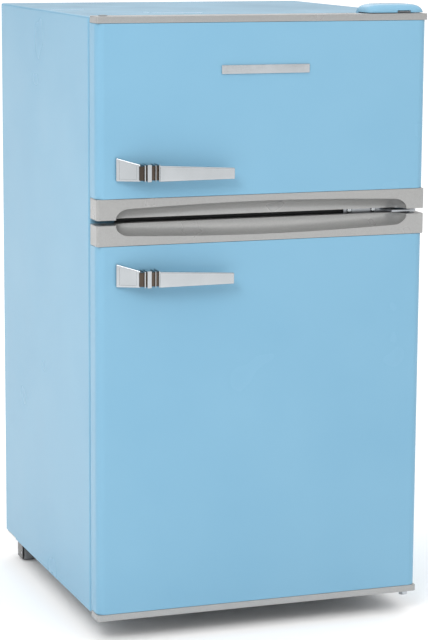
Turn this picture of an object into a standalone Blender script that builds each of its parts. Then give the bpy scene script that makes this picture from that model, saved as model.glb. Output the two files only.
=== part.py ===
"""Two-door under-counter refrigerator with a top freezer, as separate pieces, with both doors shut.

Frame: metres, +Z up, the doors face -Y, +X is the hinge side. The floor is z = 0, and the origin is the
middle of the overall box seen from above.
"""

import math

import bmesh
import bpy
from mathutils import Matrix, Vector

# Overall sizes
WIDTH = 0.475  # cabinet and door panels; the plastic caps stand a hair proud of it
CABINET_DEPTH = 0.450
CABINET_TOP = 0.852  # above the floor
CABINET_BOTTOM = 0.0365

# Clearances
FIT = 0.0003  # between pieces that touch
RUNNING = 0.0004  # round a pin, a stud or an axle
OVER = 0.010  # how far a cutter runs past the face that it cuts
LAP = 0.004  # how far two shapes that make one piece run into each other

# Sheet and moulding thicknesses
SHEET = 0.001
LINER = 0.0015
BIN_WALL = 0.0018

# Cabinet
EDGE_RADIUS = 0.003  # the wrap's two top edges
WALL = 0.036  # steel, foam and liner together
REAR_WALL = 0.045
BACK_INSET = 0.002
BAY_DEPTH = 0.165  # the compressor bay, low at the back
BAY_TOP = 0.215
STEP_FOAM = 0.030
RAIL_HEIGHT = 0.048
RAIL_DEPTH = 0.012

# Doors
DOOR_THICK = 0.032
DOOR_GAP = 0.006  # cabinet front to door back, filled by the gasket
DOOR_RADIUS = 0.012
DOOR_BOTTOM = 0.032
FREEZER_DROP = 0.2713  # cabinet top to the middle of the gap between the doors
SPLIT_GAP = 0.007
CAP_HEIGHT = 0.028
CAP_PROUD = 0.0003
CAP_CORNER = 0.003  # plan radius of the caps' and trims' front corners
CAP_CHAMFER = 0.002
TRIM_HEIGHT = 0.009
TRIM_STAND = 0.0015  # the top trim above the cabinet top
LINER_EDGE = 0.003
LEDGE_END = 0.015  # the glass shelf's ledges stop this far short of the rear wall
GASKET_INSET = 0.015
GASKET_WIDTH = 0.014
GASKET_END_INSET = 0.006

# Grip recess shared by the two caps
SCOOP_END_INSET = 0.026
SCOOP_DEPTH = 0.021
SCOOP_RISE = 0.0228  # half height at the middle
SCOOP_END_RISE = 0.0176
SCOOP_END_ROUND = 0.018
SCOOP_LEAST_DEPTH = 0.0032  # at its two ends

# Hinges
PIVOT_INSET = 0.013  # from the side of the door panel
PIVOT_AHEAD = 0.018  # in front of the door's back
PIN_RADIUS = 0.004
PIN_ENGAGES = 0.008
HINGE_PLATE = 0.0024
HINGE_HALF = 0.0065  # half width of the arm round the pin
HINGE_CORNER = 0.004  # cut off the plate's rear corner, clear of the cover
TOP_HINGE_BACK = 0.0135  # the brackets' reach behind the cabinet front
BOTTOM_HINGE_BACK = 0.026
COVER_RISE = 0.014  # the cover above the cabinet top
COVER_LENGTH = 0.087
COVER_FRONT = 0.035  # in front of the cabinet front
COVER_BACK = 0.020
COVER_WALL = 0.0016
COVER_LIFT = 0.0012  # over the door trim
NOTCH_ASIDE = 0.0105  # a notch in its front edge, left of the pin
NOTCH_WIDTH = 0.020
NOTCH_TOP = 0.0041  # over the door trim
COVER_SHOULDER = 0.35  # exponents of the dome: a lower one is squarer
COVER_CORNER = 0.38
FLANGE_LEFT = 0.106  # of the middle hinge, from the cabinet side
FLANGE_RIGHT = 0.026
FLANGE_HEIGHT = 0.016
HINGE_SCREW_INSET = 0.0085  # from the flange's left end
HINGE_SCREW_PITCH = 0.036
NUT_RADIUS = 0.0065  # the bottom pin's nut, under its plate
NUT_THICK = 0.0045
SCREW_RADIUS = 0.0021
SCREW_HEAD = 0.0042
SCREW_HEAD_THICK = 0.0018
SCREW_LENGTH = 0.009

# Handles
HANDLE_REACH = 0.026
HANDLE_SIDE = 0.0255  # base to the door's left side
BASE_LENGTH = 0.028
BASE_TIP = 0.004  # the base is a wedge: thin at its free end and deep at the knuckle
BASE_DEPTH = 0.019
BASE_DROP = 0.0113  # the base's free end below the handle's middle line
BASE_RISE = 0.020
KNUCKLE_LENGTH = 0.0268
KNUCKLE_DROP = 0.0110
KNUCKLE_RISE = 0.012
LEVER_LENGTH = 0.105
LEVER_THICK = 0.007
LEVER_DROP = 0.0113
LEVER_RISE = 0.0103
LEVER_TIP_DROP = 0.0108
LEVER_TIP_RISE = 0.0045
FREEZER_HANDLE_UP = 0.0358  # above the freezer door's lower cap
FRIDGE_HANDLE_DOWN = 0.0432  # below the fridge door's upper cap

# Badge and plug
BADGE_LENGTH = 0.1265
BADGE_HEIGHT = 0.012
BADGE_THICK = 0.0015
BADGE_DROP = 0.0705  # its middle below the cabinet top
PLUG_RADIUS = 0.006
PLUG_THICK = 0.0012

# Inside
LEDGE_WIDTH = 0.006
LEDGE_HEIGHT = 0.004
SHELF_THICK = 0.004
SHELF_SIDE_GAP = 0.0015
SHELF_BACK_GAP = 0.004
DOOR_REACH = 0.069  # furthest that anything on a door reaches behind the cabinet front
SHELF_SETBACK = 0.011  # shelf fronts behind that
DRAWER_SETBACK = 0.023  # the crisper drawer's travel behind a shut door, and 1 mm
CRISPER_GAP = 0.006  # between the drawer's rim and its glass cover
WIRE = 0.004
WIRE_PITCH = 0.025

# Door liners
DYKE_INSET = 0.008  # from the cabinet liner's inner wall
DYKE_WIDTH = 0.016
DYKE_REACH = 0.040
DYKE_END_GAP = 0.012
LUG = 0.004
BIN_SIDE_GAP = 0.0015
BIN_HEIGHT = 0.055
BIN_LIFT = 0.020
BOTTLE_BIN_HEIGHT = 0.075
MIDDLE_BIN_SHARE = 0.42  # of the height between the lowest bin and the controls
UPPER_BIN_SHARE = 0.76

# Feet and rollers
STUD_RADIUS = 0.004
STUD_LENGTH = 0.040
FOOT_RADIUS = 0.016
FOOT_HEIGHT = 0.012
FOOT_SIDE = 0.0565
FOOT_BACK = 0.083
ROLLER_RADIUS = 0.0115
ROLLER_WIDTH = 0.016
ROLLER_SIDE = 0.0222
ROLLER_FROM_REAR = 0.045
AXLE_RADIUS = 0.0025
CHEEK = 0.002
BRACKET_TAIL = 0.009  # the roller bracket behind its roller
BRACKET_CLEAR = 0.003  # and above the floor

# Compressor bay
TRAY_SHEET = 0.0015
TRAY_LIP = 0.018
BOSS_RADIUS = 0.009
BOSS_HEIGHT = 0.010
POT_X = 0.050
POT_HALF_X = 0.074
POT_HALF_Y = 0.058
POT_HEIGHT = 0.118
POT_CUT = 0.04  # share of the pot's half turn left flat at its top and bottom
POT_SHOULDER = 0.45  # exponents of its outline: a lower one is squarer
POT_CROWN = 0.8
FEET_HALF_X = 0.088
FEET_HALF_Y = 0.050
FEET_PLATE = 0.003
RELAY_THICK = 0.024
RELAY_HALF = 0.022
RELAY_HEIGHT = 0.058
RELAY_ROUND = 0.002
DRIER_ASIDE = 0.085  # from the compressor's feet plate
DRIER_RADIUS = 0.009
DRIER_LENGTH = 0.088
DRIER_UP = 0.045
PAN_HEIGHT = 0.020
PAN_EXTRA = 0.045  # how much further the pan runs on its left, under the drain
PAN_HALF_X = 0.075
PAN_HALF_Y = 0.050
PIPE_RADIUS = 0.0025
DRAIN_X = -0.040
DRAIN_RADIUS = 0.006
DRAIN_BORE = 0.0045
GLAND_X = -0.150
GLAND_RADIUS = 0.008
GLAND_BORE = 0.0045

# Controls
HOUSING_WIDTH = 0.044
HOUSING_HEIGHT = 0.052
HOUSING_FRONT = 0.010
HOUSING_LENGTH = 0.200
DIAL_RADIUS = 0.017
DIAL_THICK = 0.012
DIAL_BACK = 0.145
BUTTON_RADIUS = 0.005
BUTTON_TRAVEL = 0.004
BUTTON_TAIL = 0.016
BUTTON_SPARE = 0.001  # bore left behind the pressed button
BUTTON_CLEAR = 0.0012  # from its tip to the shut door's liner
LENS_LENGTH = 0.070
LENS_BACK = 0.060
LENS_THICK = 0.012
LENS_WALL = 0.0015
LENS_MARGIN = 0.010  # above and below it on the housing
BULB_RADIUS = 0.0035
BULB_HALF = 0.0245

# Places that follow from the sizes
HALF = WIDTH / 2
DOOR_FRONT = -(HANDLE_REACH + DOOR_THICK + DOOR_GAP + CABINET_DEPTH) / 2 + HANDLE_REACH
DOOR_BACK = DOOR_FRONT + DOOR_THICK
FRONT = DOOR_BACK + DOOR_GAP
REAR = FRONT + CABINET_DEPTH
SPLIT_Z = CABINET_TOP - FREEZER_DROP
PIVOT = Vector((HALF - PIVOT_INSET, DOOR_BACK - PIVOT_AHEAD, 0))
LINER_HALF = HALF - WALL  # outside of both liners
CLEAR_HALF = LINER_HALF - LINER  # inside of both liners
FLANGE = WALL - FIT
FREEZER_FLOOR = SPLIT_Z + RAIL_HEIGHT / 2 + FIT
FREEZER_CEILING = CABINET_TOP - WALL
FRIDGE_CEILING = SPLIT_Z - RAIL_HEIGHT / 2 - FIT
FRIDGE_FLOOR = CABINET_BOTTOM + WALL
LINER_REAR = REAR - REAR_WALL
BAY_FRONT = REAR - BAY_DEPTH
STEP_FRONT = BAY_FRONT - SHEET - STEP_FOAM
STEP_TOP = BAY_TOP + SHEET + STEP_FOAM
TRIM_TOP = CABINET_TOP + TRIM_STAND
FREEZER_CAP_LOW = SPLIT_Z + SPLIT_GAP / 2
FREEZER_CAP_TOP = FREEZER_CAP_LOW + CAP_HEIGHT
FRIDGE_CAP_TOP = SPLIT_Z - SPLIT_GAP / 2
FRIDGE_CAP_LOW = FRIDGE_CAP_TOP - CAP_HEIGHT
SHELF_FRONT = FRONT + DOOR_REACH + SHELF_SETBACK
SHELF_REAR = LINER_REAR - LINER - SHELF_BACK_GAP
COVER_LEDGE_Z = STEP_TOP + LINER + FIT
DYKE_OUT = CLEAR_HALF - DYKE_INSET
BIN_HALF = DYKE_OUT - DYKE_WIDTH - BIN_SIDE_GAP
TRAY_TOP = CABINET_BOTTOM + TRAY_SHEET
FEET_LOW = TRAY_TOP + BOSS_HEIGHT + FIT
POT_Y = REAR - BAY_DEPTH / 2
POT_TOP = FEET_LOW + POT_HEIGHT
PAN_LOW = POT_TOP + FIT
DRIER_LOW = TRAY_TOP + DRIER_UP
HOUSING_TOP = FRIDGE_CEILING - LINER - FIT
HOUSING_RIGHT = CLEAR_HALF - FIT
HOUSING_LEFT = HOUSING_RIGHT - HOUSING_WIDTH
SIDES = ((-1, "left"), (1, "right"))

MATERIALS = {
    # name: (linear colour, roughness, metallic)
    "blue_enamel": ((0.27, 0.51, 0.72), 0.28, 0.0),
    "silver_plastic": ((0.50, 0.50, 0.51), 0.40, 0.2),
    "chrome": ((0.80, 0.80, 0.80), 0.08, 1.0),
    "zinc_steel": ((0.55, 0.56, 0.58), 0.35, 1.0),
    "white_plastic": ((0.85, 0.86, 0.86), 0.35, 0.0),
    "clear_plastic": ((0.80, 0.88, 0.90), 0.10, 0.0),
    "glass": ((0.75, 0.88, 0.84), 0.05, 0.0),
    "foam": ((0.80, 0.70, 0.45), 0.90, 0.0),
    "grey_rubber": ((0.45, 0.46, 0.47), 0.70, 0.0),
    "black_plastic": ((0.03, 0.03, 0.03), 0.50, 0.0),
    "black_paint": ((0.02, 0.02, 0.02), 0.35, 0.0),
    "copper": ((0.80, 0.42, 0.28), 0.30, 1.0),
}


# Helpers


def clear_scene():
    for obj in list(bpy.data.objects):
        bpy.data.objects.remove(obj, do_unlink=True)


def make_materials():
    for name, (colour, roughness, metallic) in MATERIALS.items():
        material = bpy.data.materials.new(name)
        material.use_nodes = True
        shader = material.node_tree.nodes["Principled BSDF"]
        shader.inputs["Base Color"].default_value = (*colour, 1)
        shader.inputs["Roughness"].default_value = roughness
        shader.inputs["Metallic"].default_value = metallic


def box(low, high):
    """A block between two corners."""
    low = Vector(low)
    size = Vector(high) - low
    place = Matrix.Translation(low + size / 2) @ Matrix.Diagonal((*size, 1))
    bm = bmesh.new()
    bmesh.ops.create_cube(bm, size=1, matrix=place)
    return bm


def prism(outline, axis, low, high):
    """An outline extruded along X from (y, z), along Y from (x, z), or along Z from (x, y)."""
    along = {"X": (1, 0, 0), "Y": (0, 1, 0), "Z": (0, 0, 1)}[axis]
    bm = bmesh.new()
    points = [{"X": (low, a, b), "Y": (a, low, b), "Z": (a, b, low)}[axis] for a, b in outline]
    face = bm.faces.new([bm.verts.new(point) for point in points])
    made = bmesh.ops.extrude_face_region(bm, geom=[face])
    moved = [item for item in made["geom"] if isinstance(item, bmesh.types.BMVert)]
    bmesh.ops.translate(bm, verts=moved, vec=Vector(along) * (high - low))
    bmesh.ops.recalc_face_normals(bm, faces=bm.faces)
    return bm


def stack(rings):
    """A closed body through rings of points, all with the same count."""
    bm = bmesh.new()
    rows = [[bm.verts.new(point) for point in ring] for ring in rings]
    for below, above in zip(rows, rows[1:]):
        for i in range(len(below)):
            j = (i + 1) % len(below)
            bm.faces.new((below[i], below[j], above[j], above[i]))
    bm.faces.new(reversed(rows[0]))
    bm.faces.new(rows[-1])
    bmesh.ops.recalc_face_normals(bm, faces=bm.faces)
    return bm


def turned(profile, centre, axis="Z", segments=20):
    """A body turned about an axis through centre, from (distance along the axis, radius) pairs."""
    rings = []
    for along, radius in profile:
        ring = []
        for k in range(segments):
            angle = 2 * math.pi * k / segments
            a, b = radius * math.cos(angle), radius * math.sin(angle)
            offset = {"X": (along, a, b), "Y": (a, along, b), "Z": (a, b, along)}[axis]
            ring.append(Vector(centre) + Vector(offset))
        rings.append(ring)
    return stack(rings)


def cylinder(low, high, radius, centre, axis="Z", segments=20):
    return turned([(low, radius), (high, radius)], centre, axis, segments)


def arc(centre, radius, start, end, steps):
    """Points of an arc from one angle to another, in degrees."""
    angles = [math.radians(start + (end - start) * k / steps) for k in range(steps + 1)]
    return [(centre[0] + radius * math.cos(a), centre[1] + radius * math.sin(a)) for a in angles]


def piece(name, bm, material, origin=(0, 0, 0), parent=None, smooth=False):
    """One named object, with its origin at a point of the world."""
    origin = Vector(origin)
    bmesh.ops.translate(bm, verts=bm.verts, vec=-origin)
    mesh = bpy.data.meshes.new(name)
    bm.to_mesh(mesh)
    bm.free()
    if smooth:
        mesh.shade_smooth()
        mesh.set_sharp_from_angle(angle=math.radians(40))
    obj = bpy.data.objects.new(name, mesh)
    bpy.context.scene.collection.objects.link(obj)
    obj.parent = parent
    obj.location = origin - (parent.location if parent else Vector())
    mesh.materials.append(bpy.data.materials[material])
    return obj


def helper(name, bm, obj):
    """A hidden shape for a Boolean, which moves with the object that it shapes."""
    mesh = bpy.data.meshes.new(name)
    bm.to_mesh(mesh)
    bm.free()
    tool = bpy.data.objects.new(name, mesh)
    bpy.context.scene.collection.objects.link(tool)
    tool.parent = obj.parent
    tool.location = -obj.parent.location if obj.parent else Vector()
    tool.hide_render = True
    tool.display_type = "WIRE"
    return tool


def boolean(obj, bm, operation, what):
    modifier = obj.modifiers.new(what, "BOOLEAN")
    modifier.operation = operation
    modifier.solver = "EXACT"
    modifier.object = helper(f"{obj.name}_{what}", bm, obj)


def cut(obj, bm, what):
    boolean(obj, bm, "DIFFERENCE", what)


def add(obj, bm, what):
    boolean(obj, bm, "UNION", what)


def empty(name, location):
    obj = bpy.data.objects.new(name, None)
    bpy.context.scene.collection.objects.link(obj)
    obj.location = location
    return obj


# Cabinet


def cabinet_shell():
    outline = [(-HALF, CABINET_BOTTOM), (HALF, CABINET_BOTTOM)]
    outline += arc((HALF - EDGE_RADIUS, CABINET_TOP - EDGE_RADIUS), EDGE_RADIUS, 0, 90, 4)
    outline += arc((-HALF + EDGE_RADIUS, CABINET_TOP - EDGE_RADIUS), EDGE_RADIUS, 90, 180, 4)
    wrap = prism(outline, "Y", FRONT, REAR)
    shell = piece("cabinet_shell", wrap, "blue_enamel", (0, FRONT, CABINET_TOP))
    inside = HALF - SHEET
    low = (-inside, FRONT + SHEET, CABINET_BOTTOM - OVER)
    cut(shell, box(low, (inside, REAR + OVER, CABINET_TOP - SHEET)), "inside")
    opening = HALF - FLANGE
    low = (-opening, FRONT - OVER, CABINET_BOTTOM - OVER)
    cut(shell, box(low, (opening, FRONT + OVER, CABINET_TOP - FLANGE)), "front_opening")
    cut_top_screw_holes(shell)


def back_panel():
    half = HALF - SHEET - FIT
    rear = REAR - BACK_INSET
    panel = box((-half, rear - SHEET, BAY_TOP), (half, rear, CABINET_TOP - SHEET - FIT))
    piece("back_panel", panel, "zinc_steel", (0, rear, BAY_TOP))


def bay_partition():
    back = REAR - BACK_INSET - SHEET - FIT
    low = CABINET_BOTTOM
    outline = [(BAY_FRONT - SHEET, low), (BAY_FRONT, low), (BAY_FRONT, BAY_TOP), (back, BAY_TOP)]
    outline += [(back, BAY_TOP + SHEET), (BAY_FRONT - SHEET, BAY_TOP + SHEET)]
    half = HALF - SHEET - FIT
    sheet = prism(outline, "X", -half, half)
    partition = piece("bay_partition", sheet, "zinc_steel", (0, BAY_FRONT, low))
    cut(partition, drain_hole(BAY_TOP - OVER, BAY_TOP + OVER), "drain_hole")


def drain_centre():
    return (DRAIN_X, POT_Y, 0)


def drain_hole(low, high):
    return cylinder(low, high, DRAIN_RADIUS + FIT, drain_centre(), segments=16)


def foot_places():
    half = HALF - FOOT_SIDE
    y = FRONT + FOOT_BACK
    return {"left": (-half, y, 0), "right": (half, y, 0)}


def stud_hole(centre, low, high):
    return cylinder(low, high, STUD_RADIUS + RUNNING, centre, segments=16)


def base_panel():
    wide = HALF - SHEET - FIT
    narrow = HALF - FLANGE - FIT
    behind = FRONT + SHEET + FIT
    top = CABINET_BOTTOM + SHEET
    rear = BAY_FRONT - SHEET - FIT
    plate = box((-wide, behind, CABINET_BOTTOM), (wide, rear, top))
    base = piece("base_panel", plate, "zinc_steel", (0, FRONT, top))
    tongue = box((-narrow, FRONT, CABINET_BOTTOM), (narrow, behind + SHEET, top))
    add(base, tongue, "tongue")
    lip = box((-narrow, FRONT, CABINET_BOTTOM), (narrow, FRONT + SHEET, FRIDGE_FLOOR - FIT))
    add(base, lip, "front_lip")
    for side, centre in foot_places().items():
        cut(base, stud_hole(centre, CABINET_BOTTOM - OVER, top + OVER), f"stud_hole_{side}")


def l_outline(front, rear, low, high, step_front, step_top):
    """Side view of a hollow or a body that steps over the compressor bay."""
    outline = [(front, low), (step_front, low), (step_front, step_top)]
    return outline + [(rear, step_top), (rear, high), (front, high)]


def cabinet_foam():
    front = FRONT + SHEET + FIT
    back = REAR - BACK_INSET - SHEET - FIT
    low = CABINET_BOTTOM + SHEET + FIT
    high = CABINET_TOP - SHEET - FIT
    half = HALF - SHEET - FIT
    outline = l_outline(front, back, low, high, BAY_FRONT - SHEET - FIT, BAY_TOP + SHEET + FIT)
    foam = piece("cabinet_foam", prism(outline, "X", -half, half), "foam", (0, FRONT, low))
    inside = LINER_HALF + FIT
    low_corner = (-inside, front - OVER, FREEZER_FLOOR - FIT)
    cut(foam, box(low_corner, (inside, LINER_REAR + FIT, FREEZER_CEILING + FIT)), "freezer_space")
    fridge = l_outline(
        front - OVER,
        LINER_REAR + FIT,
        FRIDGE_FLOOR - FIT,
        FRIDGE_CEILING + FIT,
        STEP_FRONT + FIT,
        STEP_TOP - FIT,
    )
    cut(foam, prism(fridge, "X", -inside, inside), "fridge_space")
    rail_low = FRIDGE_CEILING - SHEET
    rail_high = FREEZER_FLOOR + SHEET
    rail = box((-inside, front - OVER, rail_low), (inside, FRONT + RAIL_DEPTH + FIT, rail_high))
    cut(foam, rail, "rail_space")
    stud_end = FOOT_HEIGHT + STUD_LENGTH + FIT
    for side, centre in foot_places().items():
        cut(foam, stud_hole(centre, low - OVER, stud_end), f"stud_space_{side}")
    cut(foam, drain_hole(BAY_TOP, STEP_TOP + OVER), "drain_space")
    cut_top_screw_holes(foam)


def ledge(side, front, rear, top):
    """A moulded ledge on a liner's side wall, sunk a little into it."""
    inner = side * (CLEAR_HALF - LEDGE_WIDTH)
    outer = side * (CLEAR_HALF + LINER / 2)
    return box((min(inner, outer), front, top - LEDGE_HEIGHT), (max(inner, outer), rear, top))


def freezer_shelf_z():
    return (FREEZER_FLOOR + FREEZER_CEILING) / 2


def fridge_shelf_z():
    return (COVER_LEDGE_Z + SHELF_THICK + FRIDGE_CEILING) / 2


def freezer_liner():
    low = (-LINER_HALF, FRONT, FREEZER_FLOOR)
    outside = box(low, (LINER_HALF, LINER_REAR, FREEZER_CEILING))
    liner = piece("freezer_liner", outside, "white_plastic", low)
    inner_low = (-CLEAR_HALF, FRONT - OVER, FREEZER_FLOOR + LINER)
    inner_high = (CLEAR_HALF, LINER_REAR - LINER, FREEZER_CEILING - LINER)
    cut(liner, box(inner_low, inner_high), "inside")
    rear = LINER_REAR - LINER / 2
    for side, name in SIDES:
        add(liner, ledge(side, SHELF_FRONT, rear, freezer_shelf_z()), f"ledge_{name}")


def fridge_liner():
    outer = l_outline(FRONT, LINER_REAR, FRIDGE_FLOOR, FRIDGE_CEILING, STEP_FRONT, STEP_TOP)
    liner = piece(
        "fridge_liner",
        prism(outer, "X", -LINER_HALF, LINER_HALF),
        "white_plastic",
        (-LINER_HALF, FRONT, FRIDGE_FLOOR),
    )
    inner = l_outline(
        FRONT - OVER,
        LINER_REAR - LINER,
        FRIDGE_FLOOR + LINER,
        FRIDGE_CEILING - LINER,
        STEP_FRONT - LINER,
        STEP_TOP + LINER,
    )
    cut(liner, prism(inner, "X", -CLEAR_HALF, CLEAR_HALF), "inside")
    rear = LINER_REAR - LINER - LEDGE_END
    step = STEP_FRONT - LINER / 2
    for side, name in SIDES:
        add(liner, ledge(side, SHELF_FRONT, rear, fridge_shelf_z()), f"ledge_{name}")
        add(liner, ledge(side, SHELF_FRONT, step, COVER_LEDGE_Z), f"cover_ledge_{name}")
    cut(liner, drain_hole(STEP_TOP - OVER, STEP_TOP + OVER), "drain_hole")


def hinge_screw_places():
    """The middle hinge's two screws, in the rail."""
    left = HALF - FLANGE_LEFT + HINGE_SCREW_INSET
    return ((left, FRONT, SPLIT_Z), (left + HINGE_SCREW_PITCH, FRONT, SPLIT_Z))


def screw_hole(centre):
    return cylinder(-OVER, RAIL_DEPTH - SHEET, SCREW_RADIUS + FIT, centre, "Y", 12)


def centre_rail():
    low = SPLIT_Z - RAIL_HEIGHT / 2
    high = SPLIT_Z + RAIL_HEIGHT / 2
    back = FRONT + RAIL_DEPTH
    outline = [(FRONT, low), (back, low), (back, low + SHEET), (FRONT + SHEET, low + SHEET)]
    outline += [(FRONT + SHEET, high - SHEET), (back, high - SHEET), (back, high), (FRONT, high)]
    half = HALF - FLANGE - FIT
    rail = piece("centre_rail", prism(outline, "X", -half, half), "zinc_steel", (0, FRONT, SPLIT_Z))
    for k, centre in enumerate(hinge_screw_places(), 1):
        cut(rail, screw_hole(centre), f"screw_hole_{k}")


# Hinges


def hinge_pin(low, high, chamfer_low=False, chamfer_high=False):
    """A round pin on the doors' axis, chamfered at a free end."""
    chamfer = PIN_RADIUS / 4
    profile = [(low, PIN_RADIUS), (high, PIN_RADIUS)]
    if chamfer_low:
        profile[:1] = [(low, PIN_RADIUS - chamfer), (low + chamfer, PIN_RADIUS)]
    if chamfer_high:
        profile[-1:] = [(high - chamfer, PIN_RADIUS), (high, PIN_RADIUS - chamfer)]
    return turned(profile, PIVOT)


def arm_left():
    return HALF - COVER_LENGTH + HINGE_HALF * 2


def arm_outline(back):
    """A hinge plate from above: wide on the cabinet, narrowing to a round end about the pin."""
    left = arm_left()
    right = PIVOT.x + HINGE_HALF
    outline = [(right, back - HINGE_CORNER), (right - HINGE_CORNER, back), (left, back), (left, FRONT)]
    return outline + arc((PIVOT.x, PIVOT.y), HINGE_HALF, 180, 360, 8)


def top_hinge_bracket():
    """A plate screwed to the cabinet top that steps up over the door trim."""
    low = TRIM_TOP + FIT
    high = low + HINGE_PLATE
    back = FRONT + TOP_HINGE_BACK
    plate = prism(arm_outline(back), "Z", low, high)
    bracket = piece("top_hinge_bracket", plate, "zinc_steel", PIVOT + Vector((0, 0, low)))
    foot_low = (arm_left() + FIT, FRONT + SHEET, CABINET_TOP + FIT)
    foot = box(foot_low, (PIVOT.x, back - FIT, high - FIT))
    add(bracket, foot, "foot")
    pin = hinge_pin(TRIM_TOP - PIN_ENGAGES, high - HINGE_PLATE / 3, chamfer_low=True)
    add(bracket, pin, "pin")
    cut_top_screw_holes(bracket)


def top_screw_places():
    """The top hinge's two screws, down into the cabinet top."""
    y = FRONT + TOP_HINGE_BACK / 2
    z = TRIM_TOP + FIT + HINGE_PLATE
    left = arm_left() + HINGE_SCREW_INSET
    return ((left, y, z), (left + HINGE_SCREW_PITCH, y, z))


def screw_profile(seat, length):
    """A pan-head screw along an axis: its head lies below the seat and its shank above it."""
    profile = [
        (seat - SCREW_HEAD_THICK, SCREW_HEAD * 0.6),
        (seat - SCREW_HEAD_THICK / 2, SCREW_HEAD * 0.92),
        (seat, SCREW_HEAD),
    ]
    return profile + [(seat + FIT / 10, SCREW_RADIUS), (seat + length, SCREW_RADIUS)]


def top_hinge_screws():
    profile = [(-along, radius) for along, radius in reversed(screw_profile(-FIT, SCREW_LENGTH))]
    for k, centre in enumerate(top_screw_places(), 1):
        screw = turned(profile, centre, "Z", 12)
        piece(f"top_hinge_screw_{k}", screw, "zinc_steel", centre, smooth=True)


def cut_top_screw_holes(obj):
    for k, centre in enumerate(top_screw_places(), 1):
        hole = cylinder(-SCREW_LENGTH - FIT, OVER, SCREW_RADIUS + FIT, centre, segments=12)
        cut(obj, hole, f"screw_hole_{k}")


def middle_hinge_bracket():
    """A flange on the rail and an arm between the doors, with a pin into each door."""
    low = SPLIT_Z - HINGE_PLATE / 2
    high = SPLIT_Z + HINGE_PLATE / 2
    back = FRONT - FIT
    front = back - HINGE_PLATE
    flange_low = (HALF - FLANGE_LEFT, front, SPLIT_Z - FLANGE_HEIGHT / 2)
    flange = box(flange_low, (HALF - FLANGE_RIGHT, back, SPLIT_Z + FLANGE_HEIGHT / 2))
    pin_middle = PIVOT + Vector((0, 0, SPLIT_Z))
    bracket = piece("middle_hinge_bracket", flange, "zinc_steel", pin_middle)
    left = hinge_screw_places()[1][0] + SCREW_HEAD * 2.4
    outline = [(left, back - FIT), (PIVOT.x + HINGE_HALF, back - FIT)]
    outline += arc((PIVOT.x, PIVOT.y), HINGE_HALF, 0, -90, 4)
    outline += [(left + HINGE_HALF, PIVOT.y - HINGE_HALF)]
    add(bracket, prism(outline, "Z", low, high), "arm")
    reach = SPLIT_GAP / 2 + PIN_ENGAGES
    add(bracket, hinge_pin(SPLIT_Z - reach, SPLIT_Z + reach, True, True), "pin")
    for k, centre in enumerate(hinge_screw_places(), 1):
        cut(bracket, screw_hole(centre), f"screw_hole_{k}")


def middle_hinge_screws():
    profile = screw_profile(-FIT - HINGE_PLATE - FIT, SCREW_LENGTH)
    for k, centre in enumerate(hinge_screw_places(), 1):
        screw = turned(profile, centre, "Y", 12)
        piece(f"middle_hinge_screw_{k}", screw, "zinc_steel", centre, smooth=True)


def bottom_hinge_bracket():
    """A plate under the base that steps down below the door's bottom trim, with a pin and its nut."""
    high = DOOR_BOTTOM - FIT
    low = high - HINGE_PLATE
    back = FRONT + BOTTOM_HINGE_BACK
    plate = prism(arm_outline(back), "Z", low, high)
    bracket = piece("bottom_hinge_bracket", plate, "zinc_steel", PIVOT + Vector((0, 0, low)))
    foot_low = (arm_left() + FIT, FRONT + SHEET, low + FIT)
    foot = box(foot_low, (PIVOT.x, back - FIT, CABINET_BOTTOM - FIT))
    add(bracket, foot, "foot")
    pin = hinge_pin(low + HINGE_PLATE / 3, DOOR_BOTTOM + PIN_ENGAGES, chamfer_high=True)
    add(bracket, pin, "pin")
    nut = cylinder(low - NUT_THICK, low + HINGE_PLATE / 3, NUT_RADIUS, PIVOT, segments=6)
    add(bracket, nut, "nut")


def squared(value, power):
    """A cosine or a sine pushed towards its ends, which squares a round outline."""
    return math.copysign(abs(value) ** power, value)


def dome_rings(shrink, low, high):
    """Rings of a soft-edged dome over the hinge, rounded like a superellipse in plan and in height."""
    levels = 6
    points = 32
    middle_x = HALF - FIT - COVER_LENGTH / 2
    middle_y = FRONT + (COVER_BACK - COVER_FRONT) / 2
    half_x = COVER_LENGTH / 2 - shrink
    half_y = (COVER_FRONT + COVER_BACK) / 2 - shrink
    rings = []
    for k in range(levels):
        tilt = math.pi / 2 * k / levels
        size = math.cos(tilt) ** COVER_SHOULDER
        z = low + (high - low) * math.sin(tilt)
        ring = []
        for i in range(points):
            angle = 2 * math.pi * i / points
            x = middle_x + half_x * size * squared(math.cos(angle), COVER_CORNER)
            y = middle_y + half_y * size * squared(math.sin(angle), COVER_CORNER)
            ring.append((x, y, z))
        rings.append(ring)
    crown = [((x + middle_x) / 2, (y + middle_y) / 2, high) for x, y, _ in rings[-1]]
    return rings + [crown]


def hinge_cover():
    low = CABINET_TOP + FIT
    seat = PIVOT + Vector((0, 0, low))
    high = CABINET_TOP + COVER_RISE
    dome = stack(dome_rings(0, low, high))
    cover = piece("hinge_cover", dome, "blue_enamel", seat, smooth=True)
    hollow = dome_rings(COVER_WALL, low - COVER_WALL, high - COVER_WALL)
    cut(cover, stack(hollow), "hollow")
    far = FRONT - COVER_FRONT - OVER
    clear = TRIM_TOP + COVER_LIFT
    cut(cover, box((0, far, low - OVER), (HALF + OVER, FRONT + SHEET, clear)), "door_side")
    right = PIVOT.x - NOTCH_ASIDE
    notch_high = (right, far + OVER + COVER_WALL * 3, TRIM_TOP + NOTCH_TOP)
    cut(cover, box((right - NOTCH_WIDTH, far, low), notch_high), "front_notch")


# Doors


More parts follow.
